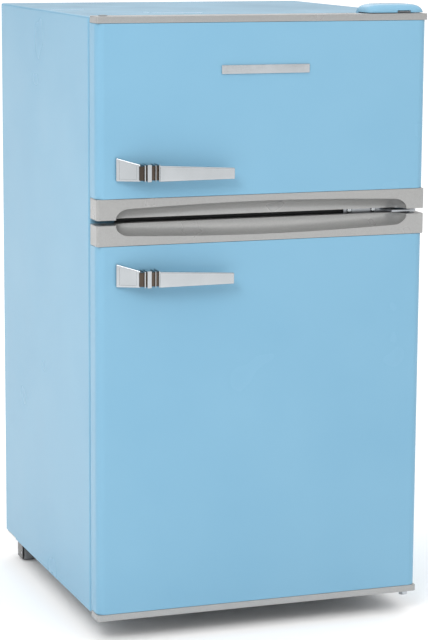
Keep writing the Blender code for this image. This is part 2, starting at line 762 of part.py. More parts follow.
def door_outline(proud, inset=0.0, chamfer=0.0, corner=DOOR_RADIUS):
    """A door from above: round front corners, and small chamfers at the back where a cap has them."""
    half = HALF + proud - inset
    front = DOOR_FRONT - proud + inset
    radius = corner + proud - inset
    middle = half - radius
    outline = arc((-middle, front + radius), radius, 180, 270, 5)
    outline += arc((middle, front + radius), radius, 270, 360, 5)
    if chamfer:
        return outline + [
            (half, DOOR_BACK - chamfer),
            (half - chamfer, DOOR_BACK),
            (-half + chamfer, DOOR_BACK),
            (-half, DOOR_BACK - chamfer),
        ]
    return outline + [(half, DOOR_BACK), (-half, DOOR_BACK)]


def door_skin(name, low, high, pivot):
    """Painted steel bent round the front and both sides, open at the back."""
    outside = prism(door_outline(0), "Z", low, high)
    skin = piece(name, outside, "blue_enamel", (0, DOOR_FRONT, low), pivot)
    half = HALF - SHEET
    radius = DOOR_RADIUS - SHEET
    corner = half - radius
    inside = arc((-corner, DOOR_FRONT + DOOR_RADIUS), radius, 180, 270, 5)
    inside += arc((corner, DOOR_FRONT + DOOR_RADIUS), radius, 270, 360, 5)
    inside += [(half, DOOR_BACK + OVER), (-half, DOOR_BACK + OVER)]
    cut(skin, prism(inside, "Z", low - OVER, high + OVER), "inside")


def door_foam(name, low, high, pivot):
    round_front = door_outline(0, SHEET + FIT)[:-2]
    half = HALF - SHEET - FIT
    back = DOOR_BACK - LINER - FIT
    filling = prism(round_front + [(half, back), (-half, back)], "Z", low + FIT, high - FIT)
    piece(name, filling, "foam", (0, DOOR_FRONT, low), pivot)


def pin_bore(side, low, high):
    centre = (side * PIVOT.x, PIVOT.y, 0)
    return cylinder(low, high, PIN_RADIUS + RUNNING, centre)


def liner_rebate(low, high):
    half = HALF - SHEET
    front = DOOR_BACK - LINER - FIT
    return box((-half, front, low + LINER_EDGE - FIT), (half, DOOR_BACK + OVER, high - LINER_EDGE + FIT))


def door_end(name, low, high, door_low, door_high, pivot, bore_from):
    """A cap or a trim across a door's end, bored for the hinge pin at each side so the door can be rehung."""
    body = prism(door_outline(CAP_PROUD, 0, CAP_CHAMFER, CAP_CORNER), "Z", low, high)
    cap = piece(name, body, "silver_plastic", (0, DOOR_FRONT, low), pivot)
    cut(cap, liner_rebate(door_low, door_high), "liner_rebate")
    depth = PIN_ENGAGES + RUNNING
    z_low, z_high = (high - depth, high + OVER) if bore_from == "top" else (low - OVER, low + depth)
    for side, word in SIDES:
        cut(cap, pin_bore(side, z_low, z_high), f"pin_bore_{word}")
    return cap


def scoop():
    """The grip recess of both caps: a long arched hollow, deepest at the gap, with round ends."""
    end = HALF - SCOOP_END_INSET
    mouth = DOOR_FRONT - CAP_PROUD
    stations = 17
    rings = []
    for k in range(stations):
        across = math.sin(math.pi / 2 * (2 * k / (stations - 1) - 1))
        x = across * (end - FIT)
        rise = SCOOP_END_RISE + (SCOOP_RISE - SCOOP_END_RISE) * math.cos(math.pi / 2 * across)
        from_end = min(1.0, (end - abs(x)) / SCOOP_END_ROUND)
        taper = math.sqrt(1 - (1 - from_end) ** 2)
        half_height = rise * taper + SPLIT_GAP / 2 * (1 - taper)
        depth = SCOOP_LEAST_DEPTH + (SCOOP_DEPTH - SCOOP_LEAST_DEPTH) * taper
        ring = [(x, mouth - OVER, SPLIT_Z - half_height)]
        ring += [
            (x, mouth + depth * math.cos(angle), SPLIT_Z + half_height * math.sin(angle))
            for angle in (math.pi * (i / 10 - 0.5) for i in range(11))
        ]
        ring.append((x, mouth - OVER, SPLIT_Z + half_height))
        rings.append(ring)
    return stack(rings)


def dyke(side, low, high, inset, front):
    """A rib behind the door that carries one side of the bins; inset shrinks it to its hollow."""
    outer = side * (DYKE_OUT - inset)
    inner = side * (DYKE_OUT - DYKE_WIDTH + inset)
    back = DOOR_BACK + DYKE_REACH - inset
    return box((min(inner, outer), front, low + inset), (max(inner, outer), back, high - inset))


def bin_lug(side, shelf_z):
    """A lug on a dyke's inner face, just under a bin's corner."""
    inner = side * (DYKE_OUT - DYKE_WIDTH - LUG)
    outer = side * (DYKE_OUT - DYKE_WIDTH + LINER / 2)
    front = DOOR_BACK + DYKE_REACH / 4
    low = (min(inner, outer), front, shelf_z - LUG)
    return box(low, (max(inner, outer), DOOR_BACK + DYKE_REACH * 0.8, shelf_z - FIT))


def door_liner(name, door_low, door_high, space, shelves, pivot):
    """Vacuum-formed sheet over the door's back with two hollow dykes and a lug pair for each bin."""
    half = HALF - SHEET - FIT
    low = (-half, DOOR_BACK - LINER, door_low + LINER_EDGE)
    liner = piece(name, box(low, (half, DOOR_BACK, door_high - LINER_EDGE)), "white_plastic", low, pivot)
    for side, word in SIDES:
        add(liner, dyke(side, *space, 0, DOOR_BACK - LINER), f"dyke_{word}")
    for side, word in SIDES:
        cut(liner, dyke(side, *space, LINER, DOOR_BACK - LINER - OVER), f"dyke_hollow_{word}")
        for k, shelf_z in enumerate(shelves, 1):
            add(liner, bin_lug(side, shelf_z), f"lug_{word}_{k}")


def gasket(name, door_low, door_high, pivot):
    """A magnetic seal, a flat ring between the door liner and the cabinet front."""
    front = DOOR_BACK + FIT
    back = FRONT - FIT
    half = HALF - GASKET_INSET
    low = door_low + GASKET_END_INSET
    high = door_high - GASKET_END_INSET
    slab = box((-half, front, low), (half, back, high))
    ring = piece(name, slab, "grey_rubber", (0, front, low), pivot)
    inner = half - GASKET_WIDTH
    hole_low = (-inner, front - OVER, low + GASKET_WIDTH)
    cut(ring, box(hole_low, (inner, back + OVER, high - GASKET_WIDTH)), "opening")


def door_bin(name, low, height, pivot):
    """An open-topped bin that hangs between the dykes and lifts off."""
    front = DOOR_BACK + FIT
    back = FRONT + DOOR_REACH
    bm = box((-BIN_HALF, front, low), (BIN_HALF, back, low + height))
    tray = piece(name, bm, "clear_plastic", (0, front, low), pivot)
    inner = BIN_HALF - BIN_WALL
    hollow_low = (-inner, front + BIN_WALL, low + BIN_WALL)
    cut(tray, box(hollow_low, (inner, back - BIN_WALL, low + height + OVER)), "inside")


def handle(name, middle_z, pivot):
    """A fixed pull: a wedge-shaped base, a knuckle, and a lever that tapers to its tip."""
    left = -HALF + HANDLE_SIDE
    knuckle = left + BASE_LENGTH
    root = knuckle + KNUCKLE_LENGTH
    tip = root + LEVER_LENGTH
    seat = DOOR_FRONT - FIT
    face = DOOR_FRONT - HANDLE_REACH
    rings = []
    for x, depth, drop, rise in (
        (left, BASE_TIP, BASE_DROP, BASE_RISE),
        (knuckle + LAP, BASE_DEPTH, KNUCKLE_DROP - FIT, KNUCKLE_RISE - FIT),
    ):
        front = DOOR_FRONT - depth
        low, high = middle_z - drop, middle_z + rise
        rings.append([(x, seat, low), (x, front, low), (x, front, high), (x, seat, high)])
    pull = piece(name, stack(rings), "chrome", (left, seat, middle_z), pivot)
    hub = [(knuckle, middle_z - KNUCKLE_DROP), (root, middle_z - LEVER_DROP - FIT)]
    hub += [(root, middle_z + LEVER_RISE + FIT), (knuckle, middle_z + KNUCKLE_RISE)]
    add(pull, prism(hub, "Y", face + LEVER_THICK / 4, seat), "knuckle")
    lever = [(root - LAP, middle_z - LEVER_DROP), (tip, middle_z - LEVER_TIP_DROP)]
    lever += [(tip, middle_z + LEVER_TIP_RISE), (root - LAP, middle_z + LEVER_RISE)]
    add(pull, prism(lever, "Y", face, face + LEVER_THICK), "lever")


def freezer_door():
    pivot = empty("freezer_door_pivot", PIVOT + Vector((0, 0, FREEZER_CAP_LOW)))
    low, high = FREEZER_CAP_LOW, TRIM_TOP
    skin_low = FREEZER_CAP_TOP + FIT
    skin_high = TRIM_TOP - TRIM_HEIGHT - FIT
    door_skin("freezer_door_skin", skin_low, skin_high, pivot)
    door_foam("freezer_door_foam", skin_low, skin_high, pivot)
    door_end("freezer_door_trim", TRIM_TOP - TRIM_HEIGHT, TRIM_TOP, low, high, pivot, "top")
    cap = door_end("freezer_door_cap", low, FREEZER_CAP_TOP, low, high, pivot, "bottom")
    cut(cap, scoop(), "scoop")
    space = (FREEZER_FLOOR + LINER + DYKE_END_GAP, FREEZER_CEILING - LINER - DYKE_END_GAP)
    bin_z = space[0] + LUG * 2
    door_liner("freezer_door_liner", low, high, space, [bin_z], pivot)
    gasket("freezer_door_gasket", low, high, pivot)
    door_bin("freezer_door_bin", bin_z, BIN_HEIGHT, pivot)
    handle("freezer_door_handle", FREEZER_CAP_TOP + FREEZER_HANDLE_UP, pivot)
    badge_z = CABINET_TOP - BADGE_DROP
    badge = box(
        (-BADGE_LENGTH / 2, DOOR_FRONT - FIT - BADGE_THICK, badge_z - BADGE_HEIGHT / 2),
        (BADGE_LENGTH / 2, DOOR_FRONT - FIT, badge_z + BADGE_HEIGHT / 2),
    )
    piece("freezer_door_badge", badge, "chrome", (0, DOOR_FRONT, badge_z), pivot)
    freezer_door_plug(pivot)


def freezer_door_plug(pivot):
    """The blanking plug in the trim's unused pin bore."""
    seat = TRIM_TOP + FIT
    profile = [(TRIM_TOP - PIN_ENGAGES / 2, PIN_RADIUS), (seat, PIN_RADIUS)]
    profile += [(seat + FIT / 10, PLUG_RADIUS), (seat + PLUG_THICK / 2, PLUG_RADIUS)]
    profile += [(seat + PLUG_THICK, PLUG_RADIUS * 0.8)]
    centre = (-PIVOT.x, PIVOT.y, 0)
    plug = turned(profile, centre, segments=16)
    piece("freezer_door_plug", plug, "grey_rubber", centre, pivot, smooth=True)


def fridge_bin_heights():
    """Where the fridge door's three bins stand: the bottle bin low, the others spread above it."""
    low = FRIDGE_FLOOR + LINER + DYKE_END_GAP + LUG * 2
    high = HOUSING_TOP - HOUSING_HEIGHT - DYKE_END_GAP * 2
    room = high - low
    return low, low + room * MIDDLE_BIN_SHARE, low + room * UPPER_BIN_SHARE


def fridge_door():
    pivot = empty("fridge_door_pivot", PIVOT + Vector((0, 0, DOOR_BOTTOM)))
    low, high = DOOR_BOTTOM, FRIDGE_CAP_TOP
    skin_low = DOOR_BOTTOM + TRIM_HEIGHT + FIT
    skin_high = FRIDGE_CAP_LOW - FIT
    door_skin("fridge_door_skin", skin_low, skin_high, pivot)
    door_foam("fridge_door_foam", skin_low, skin_high, pivot)
    door_end("fridge_door_trim", DOOR_BOTTOM, DOOR_BOTTOM + TRIM_HEIGHT, low, high, pivot, "bottom")
    cap = door_end("fridge_door_cap", FRIDGE_CAP_LOW, high, low, high, pivot, "top")
    cut(cap, scoop(), "scoop")
    space = (FRIDGE_FLOOR + LINER + DYKE_END_GAP, HOUSING_TOP - HOUSING_HEIGHT - DYKE_END_GAP)
    shelves = fridge_bin_heights()
    door_liner("fridge_door_liner", low, high, space, shelves, pivot)
    gasket("fridge_door_gasket", low, high, pivot)
    door_bin("bottle_bin", shelves[0], BOTTLE_BIN_HEIGHT, pivot)
    door_bin("middle_door_bin", shelves[1], BIN_HEIGHT, pivot)
    door_bin("upper_door_bin", shelves[2], BIN_HEIGHT, pivot)
    handle("fridge_door_handle", FRIDGE_CAP_LOW - FRIDGE_HANDLE_DOWN, pivot)


# Shelves, drawer and controls


def freezer_shelf():
    """A wire shelf: a frame of four bars, one cross bar and wires from front to back."""
    half = CLEAR_HALF - SHELF_SIDE_GAP
    low = freezer_shelf_z() + FIT
    high = low + WIRE
    slab = box((-half, SHELF_FRONT, low), (half, SHELF_REAR, high))
    shelf = piece("freezer_shelf", slab, "zinc_steel", (0, SHELF_FRONT, low))
    clear = 2 * (half - WIRE)
    count = max(2, round(clear / WIRE_PITCH))
    pitch = clear / count
    middle = (SHELF_FRONT + SHELF_REAR) / 2
    gap = WIRE / 4
    halves = ((SHELF_FRONT + WIRE, middle - WIRE / 2), (middle + WIRE / 2, SHELF_REAR - WIRE))
    slots = bmesh.new()
    for k in range(count):
        x = -half + WIRE + pitch * k
        for front, rear in halves:
            slot_low = Vector((x + gap, front, low - OVER))
            size = Vector((pitch - 2 * gap, rear - front, WIRE + 2 * OVER))
            place = Matrix.Translation(slot_low + size / 2) @ Matrix.Diagonal((*size, 1))
            bmesh.ops.create_cube(slots, size=1, matrix=place)
    cut(shelf, slots, "slots")


def glass_plate(name, low):
    half = CLEAR_HALF - SHELF_SIDE_GAP
    corner = (half, SHELF_REAR, low + SHELF_THICK)
    piece(name, box((-half, SHELF_FRONT, low), corner), "glass", (0, SHELF_FRONT, low))


def crisper_drawer():
    """An open-topped drawer under the crisper cover."""
    half = CLEAR_HALF - LEDGE_WIDTH - SHELF_SIDE_GAP
    low = FRIDGE_FLOOR + LINER + FIT
    front = FRONT + DOOR_REACH + DRAWER_SETBACK
    back = STEP_FRONT - LINER - SHELF_BACK_GAP
    top = COVER_LEDGE_Z - CRISPER_GAP
    outside = box((-half, front, low), (half, back, top))
    drawer = piece("crisper_drawer", outside, "clear_plastic", (0, front, low))
    inner = half - BIN_WALL
    hollow_low = (-inner, front + BIN_WALL, low + BIN_WALL)
    cut(drawer, box(hollow_low, (inner, back - BIN_WALL, top + OVER)), "inside")


def thermostat_housing():
    """A moulded box under the fridge's ceiling that holds the thermostat, the lamp and the door switch."""
    low = (HOUSING_LEFT, FRONT + HOUSING_FRONT, HOUSING_TOP - HOUSING_HEIGHT)
    high = (HOUSING_RIGHT, FRONT + HOUSING_FRONT + HOUSING_LENGTH, HOUSING_TOP)
    housing = piece("thermostat_housing", box(low, high), "white_plastic", low)
    depth = BUTTON_TAIL + BUTTON_TRAVEL + BUTTON_SPARE
    bore = cylinder(-OVER, depth, BUTTON_RADIUS + RUNNING, button_centre(), "Y", 16)
    cut(housing, bore, "button_bore")
    spindle = cylinder(-OVER, DIAL_THICK, DIAL_RADIUS / 3 + RUNNING, dial_centre(), "X", 16)
    cut(housing, spindle, "spindle_bore")


def button_centre():
    return (
        HOUSING_RIGHT - HOUSING_WIDTH / 2,
        FRONT + HOUSING_FRONT,
        HOUSING_TOP - HOUSING_HEIGHT / 2,
    )


def light_switch_button():
    """The plunger that the shut door holds in."""
    centre = button_centre()
    tip = DOOR_BACK + BUTTON_CLEAR - centre[1]
    profile = [(tip, BUTTON_RADIUS * 0.7), (tip + BUTTON_RADIUS * 0.3, BUTTON_RADIUS)]
    profile += [(BUTTON_TAIL, BUTTON_RADIUS)]
    button = turned(profile, centre, "Y", 16)
    piece("light_switch_button", button, "white_plastic", centre, smooth=True)


def dial_centre():
    return (HOUSING_LEFT, FRONT + DIAL_BACK, HOUSING_TOP - HOUSING_HEIGHT / 2)


def thermostat_dial():
    """A knob with a finger rib across its face, on a spindle into the housing."""
    centre = dial_centre()
    profile = [(-DIAL_THICK, DIAL_RADIUS * 0.86), (-DIAL_THICK * 0.1 - FIT, DIAL_RADIUS)]
    profile += [(-FIT, DIAL_RADIUS), (-FIT * 0.9, DIAL_RADIUS / 3), (DIAL_THICK * 0.8, DIAL_RADIUS / 3)]
    knob = turned(profile, centre, "X", 24)
    dial = piece("thermostat_dial", knob, "white_plastic", centre, smooth=True)
    rib_half = DIAL_RADIUS * 0.16
    x, y, z = centre
    low = (x - DIAL_THICK * 1.5, y - DIAL_RADIUS * 0.8, z - rib_half)
    high = (x - DIAL_THICK * 0.5, y + DIAL_RADIUS * 0.8, z + rib_half)
    add(dial, box(low, high), "rib")


def lamp_middle():
    return FRONT + LENS_BACK


def lamp_lens():
    """A clear cover on the housing's side, hollow towards the bulb."""
    half = LENS_LENGTH / 2
    high = HOUSING_TOP - LENS_MARGIN
    low = HOUSING_TOP - HOUSING_HEIGHT + LENS_MARGIN
    y = lamp_middle()
    back = HOUSING_LEFT - FIT
    front = back - LENS_THICK
    outside = box((front, y - half, low), (back, y + half, high))
    lens = piece("lamp_lens", outside, "clear_plastic", (back, y, low))
    inner = half - LENS_WALL
    hollow_low = (front + LENS_WALL, y - inner, low + LENS_WALL)
    cut(lens, box(hollow_low, (back + OVER, y + inner, high - LENS_WALL)), "hollow")


def lamp_bulb():
    centre = (HOUSING_LEFT - LENS_THICK / 2, lamp_middle(), HOUSING_TOP - HOUSING_HEIGHT / 2)
    steps = 5
    ends = [math.pi / 2 * k / steps for k in range(1, steps + 1)]
    profile = [(-BULB_HALF - BULB_RADIUS * math.cos(a), BULB_RADIUS * math.sin(a)) for a in ends]
    profile += [(-along, radius) for along, radius in reversed(profile)]
    piece("lamp_bulb", turned(profile, centre, "Y", 12), "glass", centre, smooth=True)


# Feet and rollers


def levelling_feet():
    for side, centre in foot_places().items():
        profile = [(0, FOOT_RADIUS * 0.94), (FOOT_HEIGHT * 0.15, FOOT_RADIUS)]
        profile += [(FOOT_HEIGHT * 0.7, FOOT_RADIUS), (FOOT_HEIGHT, FOOT_RADIUS * 0.55)]
        profile += [(FOOT_HEIGHT + FIT / 10, STUD_RADIUS), (FOOT_HEIGHT + STUD_LENGTH, STUD_RADIUS)]
        foot = turned(profile, centre, segments=24)
        piece(f"levelling_foot_{side}", foot, "black_plastic", centre, smooth=True)


def roller_places():
    y = REAR - ROLLER_FROM_REAR
    half = HALF - ROLLER_SIDE
    return {"left": (-half, y, ROLLER_RADIUS), "right": (half, y, ROLLER_RADIUS)}


def rear_rollers():
    half = ROLLER_WIDTH / 2
    reach = half + FIT * 2 + CHEEK
    for side, centre in roller_places().items():
        profile = [(-reach, AXLE_RADIUS), (-half, AXLE_RADIUS), (-half + FIT / 10, ROLLER_RADIUS)]
        profile += [(half - FIT / 10, ROLLER_RADIUS), (half, AXLE_RADIUS), (reach, AXLE_RADIUS)]
        roller = turned(profile, centre, "X", 24)
        piece(f"rear_roller_{side}", roller, "grey_rubber", centre, smooth=True)


def roller_brackets():
    """A channel under the compressor tray: a top plate, two cheeks round the roller and a rear web."""
    half = ROLLER_WIDTH / 2 + FIT * 2
    top = CABINET_BOTTOM - FIT
    for side, (x, y, z) in roller_places().items():
        rear = y + ROLLER_RADIUS + BRACKET_TAIL
        front = y - AXLE_RADIUS * 2.6
        plate = box((x - half - CHEEK, front, top - CHEEK), (x + half + CHEEK, rear, top))
        bracket = piece(f"rear_roller_bracket_{side}", plate, "black_paint", (x, y, z))
        low = BRACKET_CLEAR
        for word, inner in (("left_cheek", x - half - CHEEK), ("right_cheek", x + half)):
            add(bracket, box((inner, front, low), (inner + CHEEK, rear, top - FIT)), word)
        web = box((x - half - FIT, rear - CHEEK, low), (x + half + FIT, rear, top - FIT))
        add(bracket, web, "web")
        reach = half + CHEEK + OVER
        axle = cylinder(-reach, reach, AXLE_RADIUS + RUNNING, (x, y, z), "X", 12)
        cut(bracket, axle, "axle_hole")


# Compressor bay


def boss_places():
    x = FEET_HALF_X - BOSS_RADIUS * 1.4
    y = FEET_HALF_Y - BOSS_RADIUS * 1.4
    return [(POT_X + i * x, POT_Y + j * y, 0) for i in (-1, 1) for j in (-1, 1)]


def compressor_tray():
    """The cross plate that carries the compressor on four pressed bosses, with a lip on three sides."""
    half = HALF - SHEET - FIT
    front = BAY_FRONT + FIT
    rear = REAR - BACK_INSET
    plate = box((-half, front, CABINET_BOTTOM), (half, rear, TRAY_TOP))
    tray = piece("compressor_tray", plate, "zinc_steel", (0, front, CABINET_BOTTOM))
    top = CABINET_BOTTOM + TRAY_LIP
    low = CABINET_BOTTOM
    add(tray, box((-half, front, low), (-half + TRAY_SHEET, rear, top)), "left_lip")
    add(tray, box((half - TRAY_SHEET, front, low), (half, rear, top)), "right_lip")
    add(tray, box((-half, rear - TRAY_SHEET, low), (half, rear, top)), "rear_lip")
    for k, centre in enumerate(boss_places(), 1):
        boss = cylinder(CABINET_BOTTOM + FIT, TRAY_TOP + BOSS_HEIGHT, BOSS_RADIUS, centre, segments=16)
        add(tray, boss, f"boss_{k}")
    cut(tray, cylinder(-OVER, OVER, GLAND_RADIUS + FIT, gland_centre(), "Y", 16), "gland_hole")


def gland_centre():
    z = CABINET_BOTTOM + (TRAY_LIP + TRAY_SHEET) / 2
    return (GLAND_X, REAR - BACK_INSET - TRAY_SHEET / 2, z)


def mains_cord_gland():
    """The bush in the tray's rear lip that the mains lead would pass through."""
    flange = GLAND_RADIUS * 0.12
    profile = [(-GLAND_RADIUS, GLAND_RADIUS * 0.7), (0, GLAND_RADIUS), (TRAY_SHEET / 2, GLAND_RADIUS)]
    profile += [(TRAY_SHEET / 2 + flange, GLAND_RADIUS * 0.9)]
    centre = gland_centre()
    bush = turned(profile, centre, "Y", 16)
    gland = piece("mains_cord_gland", bush, "black_plastic", centre, smooth=True)
    reach = GLAND_RADIUS + OVER
    cut(gland, cylinder(-reach, reach, GLAND_BORE, centre, "Y", 16), "bore")


def compressor():
    """A welded steel pot, oval in plan, on a feet plate."""
    levels = 8
    points = 24
    rings = []
    for k in range(levels + 1):
        tilt = math.pi * (POT_CUT + (1 - 2 * POT_CUT) * k / levels)
        size = math.sin(tilt) ** POT_SHOULDER
        z = FEET_LOW + POT_HEIGHT / 2 * (1 - squared(math.cos(tilt), POT_CROWN))
        ring = []
        for i in range(points):
            angle = 2 * math.pi * i / points
            x = POT_X + POT_HALF_X * size * math.cos(angle)
            ring.append((x, POT_Y + POT_HALF_Y * size * math.sin(angle), z))
        rings.append(ring)
    pot = piece("compressor", stack(rings), "black_paint", (POT_X, POT_Y, FEET_LOW), smooth=True)
    low = (POT_X - FEET_HALF_X, POT_Y - FEET_HALF_Y, FEET_LOW)
    high = (POT_X + FEET_HALF_X, POT_Y + FEET_HALF_Y, FEET_LOW + FEET_PLATE)
    add(pot, box(low, high), "feet")


def start_relay_box():
    right = POT_X - POT_HALF_X - FIT * 4
    low = (right - RELAY_THICK, POT_Y - RELAY_HALF, FEET_LOW + FEET_PLATE + FIT)
    high = (right, POT_Y + RELAY_HALF, low[2] + RELAY_HEIGHT)
    relay = piece("start_relay_box", box(low, high), "black_plastic", low)
    modifier = relay.modifiers.new("rounded", "BEVEL")
    modifier.width = RELAY_ROUND
    modifier.segments = 2


def drier_centre():
    return (POT_X - FEET_HALF_X - DRIER_ASIDE, POT_Y, 0)


def filter_drier():
    """A copper cartridge that stands on the discharge pipe, necked down at both ends."""
    neck = PIPE_RADIUS * 1.4
    cone = DRIER_RADIUS
    high = DRIER_LOW + DRIER_LENGTH
    profile = [(DRIER_LOW, neck), (DRIER_LOW + cone, DRIER_RADIUS), (high - cone * 2, DRIER_RADIUS)]
    profile += [(high - cone, neck), (high, neck)]
    centre = drier_centre()
    piece("filter_drier", turned(profile, centre, segments=16), "copper", centre, smooth=True)


def pipe(name, route):
    """A bent copper pipe along a smooth route."""
    curve = bpy.data.curves.new(name, "CURVE")
    curve.dimensions = "3D"
    curve.bevel_depth = PIPE_RADIUS
    curve.bevel_resolution = 2
    curve.use_fill_caps = True
    spline = curve.splines.new("POLY")
    points = smooth_route(route, 5)
    spline.points.add(len(points) - 1)
    for point, place in zip(spline.points, points):
        point.co = (*place, 1)
    bpy.context.scene.collection.objects.link(bpy.data.objects.new(name, curve))
    curve.materials.append(bpy.data.materials["copper"])


def discharge_pipe():
    """From the compressor's front, down, across the tray and up under the drier."""
    x, y, _ = drier_centre()
    near = POT_Y - POT_HALF_Y - PIPE_RADIUS * 2
    low = TRAY_TOP + PIPE_RADIUS * 4
    start = Vector((POT_X - POT_HALF_X * 0.4, near, FEET_LOW + POT_HEIGHT * 0.7))
    route = [start, start + Vector((0, -PIPE_RADIUS * 3, -POT_HEIGHT * 0.4))]
    route.append(Vector((POT_X - FEET_HALF_X, near, low * 1.4)))
    route += [Vector((x, near, low)), Vector((x, y, low)), Vector((x, y, DRIER_LOW - FIT * 2))]
    pipe("discharge_pipe", route)


def suction_pipe():
    """From the compressor's right side, up and over to the bay's ceiling."""
    side = POT_X + POT_HALF_X + PIPE_RADIUS * 2
    start = Vector((side, POT_Y, FEET_LOW + POT_HEIGHT * 0.45))
    bend = start + Vector((PIPE_RADIUS * 8, 0, 0))
    route = [start, bend, bend + Vector((0, 0, POT_HEIGHT / 2))]
    pipe("suction_pipe", route + [Vector((bend.x, POT_Y, BAY_TOP - FIT * 2))])


def smooth_route(route, steps):
    """A quadratic curve through the middles of a route's legs, with both ends kept."""
    middles = [(a + b) / 2 for a, b in zip(route, route[1:])]
    points = [route[0]]
    for start, corner, end in zip(middles, route[1:], middles[1:]):
        for k in range(steps):
            t = k / steps
            points.append(start * (1 - t) ** 2 + corner * 2 * t * (1 - t) + end * t**2)
    return points + [middles[-1], route[-1]]


def drip_pan():
    """The open pan on the compressor where defrost water dries off."""
    low = (POT_X - PAN_HALF_X - PAN_EXTRA, POT_Y - PAN_HALF_Y, PAN_LOW)
    high = (POT_X + PAN_HALF_X, POT_Y + PAN_HALF_Y, PAN_LOW + PAN_HEIGHT)
    pan = piece("drip_pan", box(low, high), "black_plastic", low)
    wall = Vector((BIN_WALL, BIN_WALL, BIN_WALL))
    inner_high = (high[0] - BIN_WALL, high[1] - BIN_WALL, high[2] + OVER)
    cut(pan, box(Vector(low) + wall, inner_high), "inside")


def drain_tube():
    """A short tube from the liner's step down into the drip pan."""
    low = PAN_LOW + PAN_HEIGHT * 0.4
    high = STEP_TOP + LINER
    outside = cylinder(low, high, DRAIN_RADIUS, drain_centre(), segments=16)
    tube = piece("drain_tube", outside, "white_plastic", (DRAIN_X, POT_Y, low), smooth=True)
    bore = cylinder(low - OVER, high + OVER, DRAIN_BORE, drain_centre(), segments=16)
    cut(tube, bore, "bore")


def build():
    clear_scene()
    make_materials()
    cabinet_shell()
    back_panel()
    bay_partition()
    base_panel()
    cabinet_foam()
    freezer_liner()
    fridge_liner()
    centre_rail()
    top_hinge_bracket()
    top_hinge_screws()
    middle_hinge_bracket()
    middle_hinge_screws()
    bottom_hinge_bracket()
    hinge_cover()
    freezer_door()
    fridge_door()
    freezer_shelf()
    glass_plate("fridge_shelf", fridge_shelf_z() + FIT)
    glass_plate("crisper_cover", COVER_LEDGE_Z + FIT)
    crisper_drawer()
    thermostat_housing()
    light_switch_button()
    thermostat_dial()
    lamp_lens()
    lamp_bulb()
    levelling_feet()
    rear_rollers()
    roller_brackets()
    compressor_tray()
    mains_cord_gland()
    compressor()
    start_relay_box()
    filter_drier()
    discharge_pipe()
    suction_pipe()
    drip_pan()
    drain_tube()


build()
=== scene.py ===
"""Under-counter refrigerator with a top freezer, in sky-blue enamel and silver plastic, on a white floor.

Metres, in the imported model's frame: +Z up, the doors face -Y, +X is the hinge side, the floor is z = 0.
"""

import math

import bmesh
import bpy
from mathutils import Matrix, Vector


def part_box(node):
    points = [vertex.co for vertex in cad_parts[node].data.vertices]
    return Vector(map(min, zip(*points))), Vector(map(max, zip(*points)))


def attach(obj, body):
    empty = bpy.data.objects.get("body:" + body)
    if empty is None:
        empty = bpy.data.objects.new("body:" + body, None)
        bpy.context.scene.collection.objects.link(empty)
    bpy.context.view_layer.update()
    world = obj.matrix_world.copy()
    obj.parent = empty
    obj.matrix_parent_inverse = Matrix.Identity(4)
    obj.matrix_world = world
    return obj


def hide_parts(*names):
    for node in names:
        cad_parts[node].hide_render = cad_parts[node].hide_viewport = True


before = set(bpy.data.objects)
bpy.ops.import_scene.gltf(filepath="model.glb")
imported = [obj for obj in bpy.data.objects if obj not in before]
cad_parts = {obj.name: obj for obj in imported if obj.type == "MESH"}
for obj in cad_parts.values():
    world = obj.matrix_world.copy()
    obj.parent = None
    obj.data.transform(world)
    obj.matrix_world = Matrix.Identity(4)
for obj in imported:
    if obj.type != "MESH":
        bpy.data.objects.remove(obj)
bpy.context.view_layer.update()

MM = 0.001
SIDES = ((-1, "left"), (1, "right"))

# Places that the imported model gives
SHELL_LOW, SHELL_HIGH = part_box("cabinet_shell")
HALF = SHELL_HIGH.x
FRONT = SHELL_LOW.y
REAR = SHELL_HIGH.y
TOP = SHELL_HIGH.z
BOTTOM = SHELL_LOW.z
DOOR_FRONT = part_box("fridge_door_skin")[0].y
DOOR_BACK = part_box("fridge_door_skin")[1].y
SPLIT_Z = (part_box("freezer_door_cap")[0].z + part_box("fridge_door_cap")[1].z) / 2
PIN_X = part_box("freezer_door_plug")[0].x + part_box("freezer_door_plug")[1].x
PIN_AHEAD = 18 * MM  # the hinge pins, in front of the doors' back
PIVOT = Vector((-PIN_X / 2, DOOR_BACK - PIN_AHEAD, 0))

# Sizes that more than one shape uses
SKIN_RADIUS = 12 * MM  # the door panels' front corners, from above
CAP_PROUD = 0.3 * MM  # the silver mouldings past the panels
CAP_RADIUS = 3.3 * MM  # and their own front corners
PIN_BORE = 4.4 * MM  # radius
BORE_DEPTH = 8.4 * MM
HEAD_RADIUS = 4.2 * MM  # hinge screws
HEAD_OUT = 2.1 * MM
MOULDED_WALL = 1.8 * MM  # clear bins, the drawer and the drip tray
LEDGE_REACH = 6 * MM  # shelf ledges into the compartment
LEDGE_THICK = 4 * MM
FIT = 0.3 * MM  # between a ledge and what lies on it


# Finishes


def linear(code):
    """A colour given as sRGB hex, in linear light."""
    parts = [int(code[i : i + 2], 16) / 255 for i in (0, 2, 4)]
    return (*[c / 12.92 if c <= 0.04045 else ((c + 0.055) / 1.055) ** 2.4 for c in parts], 1)


def add(tree, kind, inputs=(), **settings):
    """One more node in a material, with its settings, and with each input given a value or a link."""
    made = tree.nodes.new("ShaderNode" + kind)
    for name, value in settings.items():
        setattr(made, name, value)
    for name, value in dict(inputs).items():
        if isinstance(value, bpy.types.NodeSocket):
            tree.links.new(value, made.inputs[name])
        else:
            made.inputs[name].default_value = value
    return made


